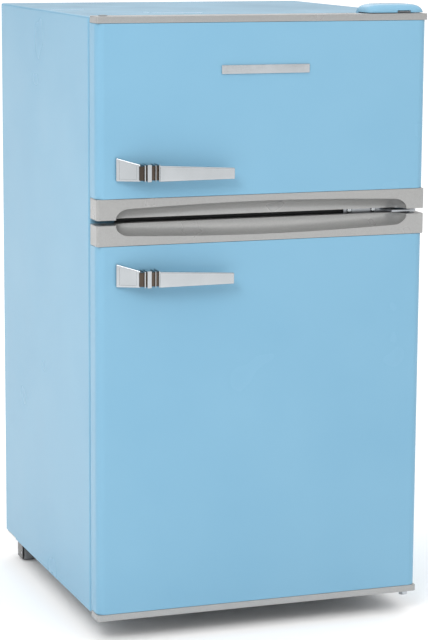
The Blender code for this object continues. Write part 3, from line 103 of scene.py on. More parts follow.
def finish(name, **constants):
    """A material with constant shader settings. Returns it, its nodes, its shader and the place."""
    made = bpy.data.materials.new(name)
    made.use_nodes = True
    tree = made.node_tree
    shader = tree.nodes["Principled BSDF"]
    for socket, value in constants.items():
        shader.inputs[socket.replace("_", " ")].default_value = value
    return made, tree, shader, add(tree, "TexCoord").outputs["Object"]


def uneven(tree, place, size, low, high, detail=2.0):
    """A soft cloudy pattern of blotches of this size, as a number between low and high."""
    cloud = add(tree, "TexNoise", {"Vector": place, "Scale": 1 / size, "Detail": detail})
    span = {"Value": cloud.outputs["Fac"], "From Min": 0.25, "From Max": 0.75, "To Min": low, "To Max": high}
    return add(tree, "MapRange", span, clamp=False).outputs["Result"]


def tinted(tree, shader, amount, first, second):
    """Colours the surface between two shades by a pattern."""
    mix = add(tree, "Mix", {0: amount, 6: linear(first), 7: linear(second)}, data_type="RGBA")
    tree.links.new(mix.outputs[2], shader.inputs["Base Color"])


def embossed(tree, shader, height, depth, under=None):
    """Raises the surface by a pattern, depth metres from lowest to highest, over an earlier relief."""
    inputs = {"Height": height, "Distance": depth, "Strength": 1.0}
    if under:
        inputs["Normal"] = under
    relief = add(tree, "Bump", inputs).outputs["Normal"]
    tree.links.new(relief, shader.inputs["Normal"])
    return relief


def sky_blue_enamel():
    """Polyester enamel baked on steel: a soft low sheen over a faint orange peel, on sheet not quite flat."""
    made, tree, shader, place = finish("sky_blue_baked_enamel", IOR=1.25)
    tinted(tree, shader, uneven(tree, place, 0.16, 0, 1), "78A6C0", "7DAAC3")
    tree.links.new(uneven(tree, place, 0.09, 0.20, 0.28), shader.inputs["Roughness"])
    # Sheet drawn flat still waves by a few hundredths of a millimetre over a hand's width.
    wave = embossed(tree, shader, uneven(tree, place, 0.22, 0, 1, 0.0), 0.22 * MM)
    # Orange peel is 2 to 4 mm across; it is drawn at 4 mm.
    embossed(tree, shader, uneven(tree, place, 4 * MM, 0, 1, 1.0), 0.010 * MM, wave)
    return made


def silver_painted_abs():
    """Moulded ABS with aluminium-flake paint: satin grey that sparkles a little, flake by flake."""
    made, tree, shader, place = finish("silver_painted_abs", Metallic=0.45, Coat_Weight=0.1)
    # Flakes are about 0.05 mm; they are drawn at 0.8 mm.
    flake = add(tree, "TexVoronoi", {"Vector": place, "Scale": 1 / (0.8 * MM)})
    shade = add(tree, "SeparateColor", {"Color": flake.outputs["Color"]}).outputs["Red"]
    tinted(tree, shader, shade, "9D9D9C", "A6A6A5")
    tree.links.new(uneven(tree, place, 0.05, 0.26, 0.36), shader.inputs["Roughness"])
    embossed(tree, shader, uneven(tree, place, 1.2 * MM, 0, 1, 1.0), 0.012 * MM)
    return made


def bright_chrome(name="chrome_plated_zinc", colour=("B2B6B9", "BBBFC2"), rough=(0.09, 0.16)):
    """Die casting polished and chrome plated: mirror-like, with hand smears and a slight roll."""
    made, tree, shader, place = finish(name, Metallic=1.0)
    tinted(tree, shader, uneven(tree, place, 0.03, 0, 1), *colour)
    tree.links.new(uneven(tree, place, 0.012, *rough), shader.inputs["Roughness"])
    embossed(tree, shader, uneven(tree, place, 0.018, 0, 1, 0.0), 0.05 * MM)
    return made


def bright_zinc():
    """Stamped steel, zinc plated: grey with a blue cast, and drawn marks along the sheet."""
    made, tree, shader, place = finish("zinc_plated_steel", Metallic=1.0)
    # Rolling marks run along X, 1.5 mm apart and 40 mm long.
    stretched = add(tree, "Mapping", {"Vector": place, "Scale": (0.04, 1, 1)}).outputs["Vector"]
    marks = uneven(tree, stretched, 1.5 * MM, 0, 1)
    tinted(tree, shader, marks, "A9ADB2", "BCC0C4")
    tree.links.new(uneven(tree, place, 0.02, 0.26, 0.40), shader.inputs["Roughness"])
    embossed(tree, shader, marks, 0.01 * MM)
    return made


def galvanised_sheet():
    """Hot-dip galvanised steel: spangles of zinc crystal, each its own grey and its own gloss."""
    made, tree, shader, place = finish("galvanised_sheet", Metallic=0.9)
    # Spangles are 8 to 15 mm across.
    spangle = add(tree, "TexVoronoi", {"Vector": place, "Scale": 1 / (12 * MM)})
    shade = add(tree, "SeparateColor", {"Color": spangle.outputs["Color"]})
    tinted(tree, shader, shade.outputs["Red"], "9DA2A6", "B9BDC0")
    gloss = {"Value": shade.outputs["Green"], "To Min": 0.34, "To Max": 0.52}
    tree.links.new(add(tree, "MapRange", gloss).outputs["Result"], shader.inputs["Roughness"])
    embossed(tree, shader, uneven(tree, place, 3 * MM, 0, 1), 0.02 * MM)
    return made


def white_polystyrene():
    """High-impact polystyrene sheet, vacuum formed: milky white, thin gloss, a trace of the mould's grain."""
    made, tree, shader, place = finish("white_polystyrene", IOR=1.59, Coat_Weight=0.1)
    tinted(tree, shader, uneven(tree, place, 0.11, 0, 1), "E9ECEC", "F1F3F3")
    tree.links.new(uneven(tree, place, 0.03, 0.26, 0.38), shader.inputs["Roughness"])
    # The mould's grain is about 0.5 mm; it is drawn at 1.5 mm.
    embossed(tree, shader, uneven(tree, place, 1.5 * MM, 0, 1, 1.0), 0.015 * MM)
    return made


def crystal_polystyrene():
    """Injection-moulded clear polystyrene: water clear with a cool cast, flow lines and light scuffs."""
    made, tree, shader, place = finish("crystal_polystyrene", IOR=1.59, Transmission_Weight=1.0)
    tinted(tree, shader, uneven(tree, place, 0.05, 0, 1), "EAF3F6", "F4F9FA")
    tree.links.new(uneven(tree, place, 0.006, 0.03, 0.14), shader.inputs["Roughness"])
    embossed(tree, shader, uneven(tree, place, 0.03, 0, 1, 0.0), 0.05 * MM)
    return made


def toughened_glass():
    """Float glass, toughened: clear through its face and sea green along its edge, with wiped-on smears."""
    made, tree, shader, place = finish("toughened_glass", IOR=1.52, Transmission_Weight=1.0)
    tinted(tree, shader, uneven(tree, place, 0.08, 0, 1), "DDF0E8", "E6F5EF")
    tree.links.new(uneven(tree, place, 0.02, 0.0, 0.05), shader.inputs["Roughness"])
    embossed(tree, shader, uneven(tree, place, 0.12, 0, 1, 0.0), 0.04 * MM)
    return made


def rigid_foam():
    """Blown polyurethane: buff, dull and full of small open cells where it was cut."""
    made, tree, shader, place = finish("rigid_polyurethane_foam", Roughness=0.92, IOR=1.45)
    cell = add(tree, "TexVoronoi", {"Vector": place, "Scale": 1 / (1.6 * MM)})
    tinted(tree, shader, uneven(tree, place, 0.02, 0, 1), "DCC68C", "E6D3A0")
    embossed(tree, shader, cell.outputs["Distance"], 0.3 * MM)
    return made


def vinyl_seal(name, dark, light):
    """Extruded soft vinyl: dull, a little greasy where it is touched, with fine lines along it."""
    made, tree, shader, place = finish(name, IOR=1.52)
    tinted(tree, shader, uneven(tree, place, 0.04, 0, 1), dark, light)
    tree.links.new(uneven(tree, place, 0.015, 0.48, 0.62), shader.inputs["Roughness"])
    embossed(tree, shader, uneven(tree, place, 0.9 * MM, 0, 1), 0.03 * MM)
    return made


def black_polypropylene():
    """Moulded in a spark-eroded tool: an even dull grain, greyed where it rubs."""
    made, tree, shader, place = finish("black_grained_polypropylene", IOR=1.49)
    tinted(tree, shader, uneven(tree, place, 0.012, 0, 1), "1B1C1D", "2A2B2D")
    tree.links.new(uneven(tree, place, 0.01, 0.45, 0.62), shader.inputs["Roughness"])
    # Spark grain is about 0.3 mm; it is drawn at 0.9 mm.
    embossed(tree, shader, uneven(tree, place, 0.9 * MM, 0, 1), 0.05 * MM)
    return made


def black_dip_paint():
    """Steel dipped in black enamel: glossy, with a thick orange peel and dust caught in it."""
    made, tree, shader, place = finish("black_dip_enamel", IOR=1.5, Coat_Weight=0.3)
    tinted(tree, shader, uneven(tree, place, 0.03, 0, 1), "111213", "1E1F21")
    tree.links.new(uneven(tree, place, 0.02, 0.22, 0.38), shader.inputs["Roughness"])
    embossed(tree, shader, uneven(tree, place, 3 * MM, 0, 1), 0.06 * MM)
    return made


def drawn_copper():
    """Soft-drawn copper tube: warm, streaked, brown where the brazing flame touched it."""
    made, tree, shader, place = finish("drawn_copper", Metallic=1.0)
    tinted(tree, shader, uneven(tree, place, 0.03, 0, 1, 4.0), "8E4A2E", "D98C62")
    tree.links.new(uneven(tree, place, 0.008, 0.22, 0.42), shader.inputs["Roughness"])
    embossed(tree, shader, uneven(tree, place, 2 * MM, 0, 1), 0.02 * MM)
    return made


def frosted_glass():
    """A lamp bulb etched inside: milky and softly bright."""
    made, tree, shader, place = finish("frosted_lamp_glass", IOR=1.5, Transmission_Weight=0.4)
    tinted(tree, shader, uneven(tree, place, 0.01, 0, 1), "EDEAE0", "F6F4EC")
    tree.links.new(uneven(tree, place, 0.004, 0.35, 0.5), shader.inputs["Roughness"])
    return made


def white_paper():
    """A roll of matt white background paper: even, with a trace of tooth."""
    made, tree, shader, place = finish("white_background_paper", Roughness=0.95, Specular_IOR_Level=0.0)
    tinted(tree, shader, uneven(tree, place, 0.6, 0, 1), "F8F8F8", "FAFAFA")
    embossed(tree, shader, uneven(tree, place, 6 * MM, 0, 1), 0.05 * MM)
    return made


ENAMEL = sky_blue_enamel()
SILVER = silver_painted_abs()
CHROME = bright_chrome()
# Chrome darkened almost to black for the knuckle's core between the ribs: painted shade in the groove.
GROOVE_PAINTED_SHADE = bright_chrome("chrome_darkened_as_painted_groove_shade", ("4A423B", "5A5048"), (0.14, 0.22))
ZINC = bright_zinc()
SHEET = galvanised_sheet()
WHITE = white_polystyrene()
CLEAR = crystal_polystyrene()
GLASS = toughened_glass()
FOAM = rigid_foam()
# The door seals' dark grey is painted shade: it darkens the gap between the doors.
SEAL_PAINTED_GAP_SHADE = vinyl_seal("vinyl_seal_darkened_as_painted_gap_shade", "2E3032", "3A3C3E")
RUBBER = vinyl_seal("grey_moulded_rubber", "6E7173", "85888A")
# The rail cover's near-black grey is painted shade: it darkens the gap between the doors.
RAIL_PAINTED_GAP_SHADE = vinyl_seal("rail_cover_darkened_as_painted_gap_shade", "232426", "2E3032")
BLACK = black_polypropylene()
DIPPED = black_dip_paint()
COPPER = drawn_copper()
BULB = frosted_glass()


# Shapes


def block(low, high, radius=0.0, steps=3, pick=None):
    """A box between two corners with rounded edges, or with only the edges rounded that pick chooses."""
    low, high = Vector(low), Vector(high)
    bm = bmesh.new()
    place = Matrix.Translation((low + high) / 2) @ Matrix.Diagonal((*(high - low), 1))
    bmesh.ops.create_cube(bm, size=1, matrix=place)
    if radius:
        rounded(bm, [e for e in bm.edges if pick is None or pick(e)], radius, steps)
    return bm


def rounded(bm, edges, radius, steps=3):
    bmesh.ops.bevel(
        bm, geom=edges, offset=radius, segments=steps, profile=0.5, affect="EDGES", clamp_overlap=True
    )
    return bm


def softened(bm, radius, steps=2, sharper=30):
    """Rounds every edge that turns by more than this many degrees."""
    turn = math.radians(sharper)
    edges = [e for e in bm.edges if len(e.link_faces) == 2 and e.calc_face_angle(0) > turn]
    return rounded(bm, edges, radius, steps)


def prism(outline, axis, low, high):
    """An outline extruded along X from (y, z), along Y from (x, z), or along Z from (x, y)."""
    along = {"X": (1, 0, 0), "Y": (0, 1, 0), "Z": (0, 0, 1)}[axis]
    points = [{"X": (low, a, b), "Y": (a, low, b), "Z": (a, b, low)}[axis] for a, b in outline]
    bm = bmesh.new()
    face = bm.faces.new([bm.verts.new(point) for point in points])
    made = bmesh.ops.extrude_face_region(bm, geom=[face])
    moved = [item for item in made["geom"] if isinstance(item, bmesh.types.BMVert)]
    bmesh.ops.translate(bm, verts=moved, vec=Vector(along) * (high - low))
    bmesh.ops.recalc_face_normals(bm, faces=bm.faces)
    return bm


def stacked(rings, closed=False):
    """A body through rings of equal count, with flat ends unless it closes on itself."""
    bm = bmesh.new()
    rows = [[bm.verts.new(point) for point in ring] for ring in rings]
    pairs = list(zip(rows, rows[1:])) + ([(rows[-1], rows[0])] if closed else [])
    for below, above in pairs:
        for i in range(len(below)):
            j = (i + 1) % len(below)
            bm.faces.new((below[i], below[j], above[j], above[i]))
    if not closed:
        bm.faces.new(reversed(rows[0]))
        bm.faces.new(rows[-1])
    bmesh.ops.recalc_face_normals(bm, faces=bm.faces)
    return bm


def turned(profile, centre, axis="Z", steps=40):
    """A body turned about an axis through centre, from (distance along the axis, radius) pairs."""
    rings = []
    for along, radius in profile:
        ring = []
        for k in range(steps):
            angle = 2 * math.pi * k / steps
            a, b = radius * math.cos(angle), radius * math.sin(angle)
            out = {"X": (along, a, b), "Y": (a, along, b), "Z": (a, b, along)}[axis]
            ring.append(Vector(centre) + Vector(out))
        rings.append(ring)
    return stacked(rings)


def arc(centre, radius, start, end, steps):
    """Points of an arc from one angle to another, in degrees."""
    angles = [math.radians(start + (end - start) * k / steps) for k in range(steps + 1)]
    return [(centre[0] + radius * math.cos(a), centre[1] + radius * math.sin(a)) for a in angles]


def rod(route, radius, closed=False, steps=12):
    """A round bar or tube along points, closed on itself or with flat ends."""
    points = [Vector(p) for p in route]
    count = len(points)
    rings = []
    side = None
    for k, point in enumerate(points):
        before = points[k - 1] if closed or k else point
        after = points[(k + 1) % count] if closed or k + 1 < count else point
        ahead = (after - before).normalized()
        if side is None:
            side = ahead.orthogonal().normalized()
        side = (side - ahead * side.dot(ahead)).normalized()
        up = ahead.cross(side)
        turns = [2 * math.pi * i / steps for i in range(steps)]
        rings.append([point + (side * math.cos(a) + up * math.sin(a)) * radius for a in turns])
    return stacked(rings, closed)


def together(*shapes):
    """Several shapes as one mesh."""
    made = bmesh.new()
    for shape in shapes:
        mesh = bpy.data.meshes.new("shape")
        shape.to_mesh(mesh)
        shape.free()
        made.from_mesh(mesh)
        bpy.data.meshes.remove(mesh)
    return made


def carved(shape, *tools, operation="DIFFERENCE"):
    """A shape with others cut out of it, or with another operation done by them."""
    for tool in tools:
        objects = []
        for bm in (shape, tool):
            mesh = bpy.data.meshes.new("shape")
            bm.to_mesh(mesh)
            bm.free()
            objects.append(bpy.data.objects.new("shape", mesh))
            bpy.context.scene.collection.objects.link(objects[-1])
        modifier = objects[0].modifiers.new("carve", "BOOLEAN")
        modifier.operation = operation
        modifier.solver = "EXACT"
        modifier.object = objects[1]
        shape = bmesh.new()
        shape.from_object(objects[0], bpy.context.evaluated_depsgraph_get())
        for obj in objects:
            bpy.data.objects.remove(obj)
    return shape


def put(name, shape, material, body, stands_for=(), smooth=35):
    """A finished piece on a body of the model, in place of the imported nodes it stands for."""
    mesh = bpy.data.meshes.new(name)
    shape.to_mesh(mesh)
    shape.free()
    mesh.shade_smooth()
    mesh.set_sharp_from_angle(angle=math.radians(smooth))
    mesh.materials.append(material)
    piece = bpy.data.objects.new(name, mesh)
    bpy.context.scene.collection.objects.link(piece)
    even = piece.modifiers.new("flat_faces_stay_flat", "WEIGHTED_NORMAL")
    even.keep_sharp = True
    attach(piece, body)
    if stands_for:
        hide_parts(*stands_for)
    return piece


def keep(node, material):
    """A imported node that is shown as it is, in its finish."""
    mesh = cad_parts[node].data
    mesh.materials.clear()
    mesh.materials.append(material)


# Cabinet


def cabinet_wrap():
    """One sheet bent over the top and sides, turned in at the front and hemmed along the bottom."""
    sheet = 1 * MM
    bm = block(SHELL_LOW, SHELL_HIGH)
    long_top = [
        e
        for e in bm.edges
        if all(v.co.z > TOP - MM for v in e.verts) and abs(e.verts[0].co.x - e.verts[1].co.x) < MM
    ]
    rounded(bm, long_top, 3 * MM, 6)
    front = [
        e
        for e in bm.edges
        if all(abs(v.co.y - FRONT) < MM / 10 for v in e.verts) and any(v.co.z > BOTTOM + MM for v in e.verts)
    ]
    rounded(bm, front, 3.5 * MM, 5)
    hem = [
        e
        for e in bm.edges
        if all(v.co.z < BOTTOM + MM / 10 and abs(v.co.x) > HALF - MM / 2 for v in e.verts)
        and e.calc_length() > 100 * MM
    ]
    rounded(bm, hem, 1.4 * MM, 3)
    inner = HALF - sheet
    hemmed = HALF - 3 * MM
    cavity = block((-inner, FRONT + sheet, BOTTOM + 12 * MM), (inner, REAR + MM, TOP - sheet))
    under = block((-hemmed, FRONT + sheet, BOTTOM - MM), (hemmed, REAR + MM, BOTTOM + 13 * MM))
    mouth_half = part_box("freezer_liner")[1].x + 0.3 * MM
    mouth_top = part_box("freezer_liner")[1].z + 0.3 * MM
    mouth = block((-mouth_half, FRONT - MM, BOTTOM - MM), (mouth_half, FRONT + 2 * MM, mouth_top))
    # The last 55 mm of both sides' lower edges are nicked up by 3 mm, for the rear skids.
    nick = block((-HALF - MM, REAR - 55 * MM, BOTTOM - MM), (HALF + MM, REAR + MM, BOTTOM + 3 * MM))
    wrap = carved(bm, cavity, under, mouth, nick)
    put("cabinet_wrap", wrap, ENAMEL, "cabinet", ["cabinet_shell"])


def rear_sheet():
    """The back closing panel, stiffened by two long pressed channels, with its row of screws."""
    low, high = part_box("back_panel")
    bm = block(low, high)
    rear = high.y
    for side, _ in SIDES:
        x = side * 120 * MM
        rib = [(x - 14 * MM, low.z + 60 * MM), (x + 14 * MM, low.z + 60 * MM)]
        rib += [(x + 14 * MM, high.z - 60 * MM), (x - 14 * MM, high.z - 60 * MM)]
        channel = softened(prism(rib, "Y", rear - 0.6 * MM, rear + 0.7 * MM), 0.6 * MM)
        bm = together(bm, channel)
    put("rear_sheet", bm, SHEET, "cabinet", ["back_panel"])
    middle = (low.z + high.z) / 2
    heights = (low.z + 9 * MM, middle, high.z - 9 * MM)
    spots = [(x * MM, z) for x in (-226, 0, 226) for z in heights]
    heads = [screw_head((x, rear, z), 3.2 * MM, "Y", 1) for x, z in spots if x or z != middle]
    put("rear_sheet_screws", together(*heads), ZINC, "cabinet")


def screw_head(seat, radius, axis, way):
    """A pan head with a cross recess, standing on its seat."""
    rise = radius * 0.5
    turns = (0.2, 0.6, 1.0, 1.3, 1.57)
    rounding = [(rise * math.sin(a), radius * (0.62 + 0.38 * math.cos(a))) for a in turns]
    profile = [(0, radius)] + rounding
    head = turned([(way * along, wide) for along, wide in profile], seat, axis, 20)
    long, narrow = radius * 0.62, radius * 0.14
    tools = []
    for a, b in ((long, narrow), (narrow, long)):
        deep = (rise * 0.5, rise * 1.4)
        if axis == "Y":
            low = (-a, min(way * deep[0], way * deep[1]), -b)
            high = (a, max(way * deep[0], way * deep[1]), b)
        else:
            low = (-a, -b, min(way * deep[0], way * deep[1]))
            high = (a, b, max(way * deep[0], way * deep[1]))
        tools.append(block(Vector(seat) + Vector(low), Vector(seat) + Vector(high)))
    return carved(head, *tools)


def liner(name, node, step=False):
    """A compartment's inside, vacuum formed: soft inner corners, a turned lip and shelf ledges."""
    low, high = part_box(node)
    wall = 1.5 * MM
    inner = Vector((high.x - wall, high.y - wall, 0))
    if step:
        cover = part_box("crisper_cover")
        front_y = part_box("crisper_drawer")[1].y + 4 * MM
        step_z = cover[0].z - 0.6 * MM
        outline = [(FRONT - 20 * MM, low.z + wall), (front_y, low.z + wall), (front_y, step_z)]
        outline += [(inner.y, step_z), (inner.y, high.z - wall), (FRONT - 20 * MM, high.z - wall)]
        hollow = prism(outline, "X", -inner.x, inner.x)
    else:
        hollow = block((-inner.x, FRONT - 20 * MM, low.z + wall), (inner.x, inner.y, high.z - wall))
    corners = [e for e in hollow.edges if any(v.co.y > FRONT for v in e.verts)]
    rounded(hollow, corners, 6 * MM, 5)
    body = carved(block(low, high), hollow)
    if step:
        below = block((low.x - MM, front_y + wall, low.z - MM), (high.x + MM, high.y + MM, step_z - wall))
        body = carved(body, below)
    lip = [
        e
        for e in body.edges
        if all(abs(v.co.y - FRONT) < MM / 10 and abs(v.co.x) < inner.x + MM / 10 for v in e.verts)
    ]
    lip = [e for e in lip if all(low.z + MM < v.co.z < high.z - MM for v in e.verts)]
    rounded(body, lip, 0.7 * MM, 2)
    parts = [body]
    shelves = [("freezer_shelf", inner.y)]
    if step:
        shelves = [("fridge_shelf", inner.y - 15 * MM), ("crisper_cover", front_y)]
    for shelf, rear in shelves:
        shelf_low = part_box(shelf)[0]
        for side, _ in SIDES:
            near, far = sorted((side * (inner.x - LEDGE_REACH), side * (inner.x + wall / 2)))
            ledge_low = (near, shelf_low.y, shelf_low.z - LEDGE_THICK - FIT)
            parts.append(block(ledge_low, (far, rear + wall / 2, shelf_low.z - FIT), 1.2 * MM, 2))
    put(name, together(*parts), WHITE, "cabinet", [node], smooth=45)


def centre_rail():
    """The rail between the compartments, under a cover that the seals shut on; the cover's near-black grey is
    painted shade for the gap between the doors.
    """
    low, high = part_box("centre_rail")
    bm = softened(block(low, high), 0.6 * MM)
    put("front_rail", bm, RAIL_PAINTED_GAP_SHADE, "cabinet", ["centre_rail"])


# Doors


def door_plan(proud, radius, chamfer=0.0):
    """A door from above, with round front corners."""
    half = HALF + proud
    front = DOOR_FRONT - proud
    corner = half - radius
    outline = arc((-corner, front + radius), radius, 180, 270, 14)
    outline += arc((corner, front + radius), radius, 270, 360, 14)
    if chamfer:
        outline += [(half, DOOR_BACK - chamfer), (half - chamfer, DOOR_BACK)]
        return outline + [(-half + chamfer, DOOR_BACK), (-half, DOOR_BACK - chamfer)]
    return outline + [(half, DOOR_BACK), (-half, DOOR_BACK)]


def door_panel(name, node, body):
    """Enamelled sheet bent round the front and both sides of a door, its ends tucked into the plastic."""
    low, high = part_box(node)
    skin = softened(prism(door_plan(0, SKIN_RADIUS), "Z", low.z, high.z), 0.5 * MM, 2, 40)
    inside_low = (-HALF + MM, DOOR_FRONT + SKIN_RADIUS, low.z - MM)
    inside = block(inside_low, (HALF - MM, DOOR_BACK + MM, high.z + MM))
    put(name, carved(skin, inside), ENAMEL, body, [node])


def pin_bore(side, low, high):
    return turned([(low, PIN_BORE), (high, PIN_BORE)], (side * PIVOT.x, PIVOT.y, 0), steps=32)


def door_end(node, body, scooped):
    """A silver moulding across a door's end, with bores for the hinge pin on both sides."""
    low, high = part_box(node)
    whole = prism(door_plan(CAP_PROUD, CAP_RADIUS, 2 * MM), "Z", low.z, high.z)
    rims = [e for e in whole.edges if e.calc_face_angle(0) > 0.7]
    whole = rounded(whole, rims, 0.7 * MM, 3)
    bottom = node in ("freezer_door_cap", "fridge_door_trim")
    bore_low, bore_high = (low.z - MM, low.z + BORE_DEPTH) if bottom else (high.z - BORE_DEPTH, high.z + MM)
    tools = [pin_bore(side, bore_low, bore_high) for side, _ in SIDES]
    if scooped:
        tools.append(grip_scoop())
    whole = carved(whole, *tools)
    put(node + "_moulding", whole, SILVER, body, [node], smooth=30)


def grip_scoop():
    """The hollow that both doors' mouldings share: long and arched, deepest at the gap, with rounded ends."""
    end = HALF - 26 * MM
    end_rise, arch = 17.6 * MM, 5.2 * MM
    end_round = 18 * MM
    least_rise, least_depth, depth_gain = 3.5 * MM, 3.2 * MM, 17.8 * MM
    lead = 10 * MM
    mouth = DOOR_FRONT - CAP_PROUD
    rings = []
    stations = 61
    for k in range(stations):
        across = math.sin(math.pi / 2 * (2 * k / (stations - 1) - 1))
        x = across * (end - FIT)
        rise = end_rise + arch * math.cos(math.pi / 2 * across)
        from_end = min(1.0, (end - abs(x)) / end_round)
        taper = math.sqrt(1 - (1 - from_end) ** 2)
        half_height = rise * taper + least_rise * (1 - taper)
        depth = least_depth + depth_gain * taper
        ring = [(x, mouth - lead, SPLIT_Z - half_height)]
        angles = [math.pi * (i / 24 - 0.5) for i in range(25)]
        ring += [(x, mouth + depth * math.cos(a), SPLIT_Z + half_height * math.sin(a)) for a in angles]
        rings.append(ring + [(x, mouth - lead, SPLIT_Z + half_height)])
    return stacked(rings)


def door_back(name, node, body, bins, space):
    """The door's inner sheet, vacuum formed: a soft-edged tray with two hollow ribs that carry the bins."""
    low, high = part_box(node)
    bin_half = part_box(bins[0])[1].x
    front = DOOR_BACK - 1.5 * MM
    parts = [block(low, (high.x, DOOR_BACK, high.z), 0.5 * MM, 2)]
    inner = bin_half + 1.5 * MM
    outer = inner + 16 * MM
    for side, _ in SIDES:
        near, far = sorted((side * inner, side * outer))
        parts.append(block((near, front, space[0]), (far, high.y, space[1]), 4 * MM, 4))
        for bin_name in bins:
            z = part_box(bin_name)[0].z
            near, far = sorted((side * (inner - 4 * MM), side * (inner + MM)))
            y = DOOR_BACK + 10 * MM
            parts.append(block((near, y, z - 4 * MM), (far, y + 22 * MM, z - 0.3 * MM), 0.9 * MM, 2))
    put(name, together(*parts), WHITE, body, [node], smooth=50)


def seal(name, node, body):
    """A magnetic door seal in section: a clipped foot, a soft bellows and the magnet's flat pocket."""
    low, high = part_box(node)
    deep = high.y - low.y
    section = [(1.5, 0), (12.5, 0), (12.2, 0.22), (10.4, 0.34), (13.4, 0.62), (13.8, 0.86), (12.6, 1)]
    section += [(3.0, 1), (0.4, 0.9), (0.2, 0.66), (2.6, 0.42), (1.6, 0.2)]
    rings = []
    for across, along in ((-1, -1), (1, -1), (1, 1), (-1, 1)):
        ring = []
        for inset, share in section:
            z = high.z - inset * MM if along > 0 else low.z + inset * MM
            ring.append((across * (high.x - inset * MM), low.y + deep * share, z))
        rings.append(ring)
    # The seal's dark grey is painted shade for the gap between the doors.
    put(name, stacked(rings, closed=True), SEAL_PAINTED_GAP_SHADE, body, [node], smooth=50)


def door_bin(node, body):
    """A clear moulded bin: thin walls with soft corners and a rolled rim."""
    low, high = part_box(node)
    wall = MOULDED_WALL
    outer = block(low, high, 5 * MM, 4, lambda e: any(v.co.z < low.z + MM for v in e.verts))
    inner_low = low + Vector((wall, wall, wall))
    inner_high = Vector((high.x - wall, high.y - wall, high.z + 8 * MM))
    inner = block(inner_low, inner_high, 4 * MM, 4, lambda e: any(v.co.z < low.z + 3 * MM for v in e.verts))
    cup = carved(outer, inner)
    rim = [e for e in cup.edges if all(v.co.z > high.z - MM / 10 for v in e.verts)]
    rounded(cup, rim, 0.6 * MM, 2)
    put(node + "_moulding", cup, CLEAR, body, [node], smooth=45)


def pull(name, node, body):
    """A fixed chrome pull: a wedge with an inset panel, a ribbed knuckle and a flat tapered lever."""
    low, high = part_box(node)
    middle = high.z - 20 * MM
    left = low.x
    knuckle = left + 28 * MM
    root = knuckle + 26.8 * MM
    tip = high.x
    seat = high.y
    face = low.y

    def wedge(start, end, out, inset):
        """The base between two stations: 4 mm deep at its free end and 19 mm at the knuckle."""
        rings = []
        for x in (start, end):
            share = (x - left) / (knuckle - left)
            front = DOOR_FRONT - (4 + 15 * share + out) * MM
            bottom = middle - (11.3 - 0.3 * share) * MM + inset
            top = middle + (20 - 8 * share) * MM - inset
            rings.append([(x, seat, bottom), (x, front, bottom), (x, front, top), (x, seat, top)])
        return stacked(rings)

    base = softened(wedge(left, knuckle + MM, 0, 0), 1.1 * MM, 4)
    sunk = wedge(left + 3.6 * MM, knuckle - 4.0 * MM, 3, 3.0 * MM)
    floor = wedge(left + 2.6 * MM, knuckle - 3.0 * MM, -0.9, 2.0 * MM)
    base = carved(base, carved(softened(sunk, 0.6 * MM, 3), floor))
    lever_outline = [(root - 0.6 * MM, middle - 11.3 * MM), (tip, middle - 10.8 * MM)]
    lever_outline += [(tip, middle + 4.5 * MM), (root - 0.6 * MM, middle + 10.3 * MM)]
    lever = softened(prism(lever_outline, "Y", face, face + 7 * MM), 1.5 * MM, 4)
    ribs = []
    for start, end, reach in ((5.2, 6.8, 0.4), (9.0, 14.9, 1.0), (20.3, 21.5, 0.2), (25.2, 26.9, 0.5)):
        rib_low = (knuckle + start * MM, face + (2.0 - reach) * MM, middle - (10.8 + reach / 2) * MM)
        rib_high = (knuckle + end * MM, seat - MM, middle + (11.2 + reach / 2) * MM)
        ribs.append(block(rib_low, rib_high, 0.55 * MM, 3))
    put(name, together(base, lever, *ribs), CHROME, body, [node], smooth=40)
    # The knuckle's core between the ribs is near-black: painted shade in the groove.
    core_low = (knuckle - MM, face + 4.6 * MM, middle - 9.6 * MM)
    core = block(core_low, (root + MM, seat - MM, middle + 9.8 * MM), 0.8 * MM, 2)
    put(name + "_core", core, GROOVE_PAINTED_SHADE, body)


def badge_bar():
    """A plain silver bar, softly pillowed, where a name would be."""
    low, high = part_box("freezer_door_badge")
    bar = block(low, high, 0.7 * MM, 3)
    put("plain_badge_bar", bar, CHROME, "freezer_door", ["freezer_door_badge"])


def blanking_plug():
    low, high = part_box("freezer_door_plug")
    centre = ((low.x + high.x) / 2, (low.y + high.y) / 2, 0)
    seat = high.z - 1.2 * MM
    profile = [(low.z, 3.9 * MM), (seat, 3.9 * MM), (seat, 6 * MM), (seat + 0.4 * MM, 6 * MM)]
    profile += [(seat + 0.9 * MM, 5.4 * MM), (high.z, 3.6 * MM)]
    plug = turned(profile, centre)
    put("blanking_plug", plug, RUBBER, "freezer_door", ["freezer_door_plug"])


# Hinges


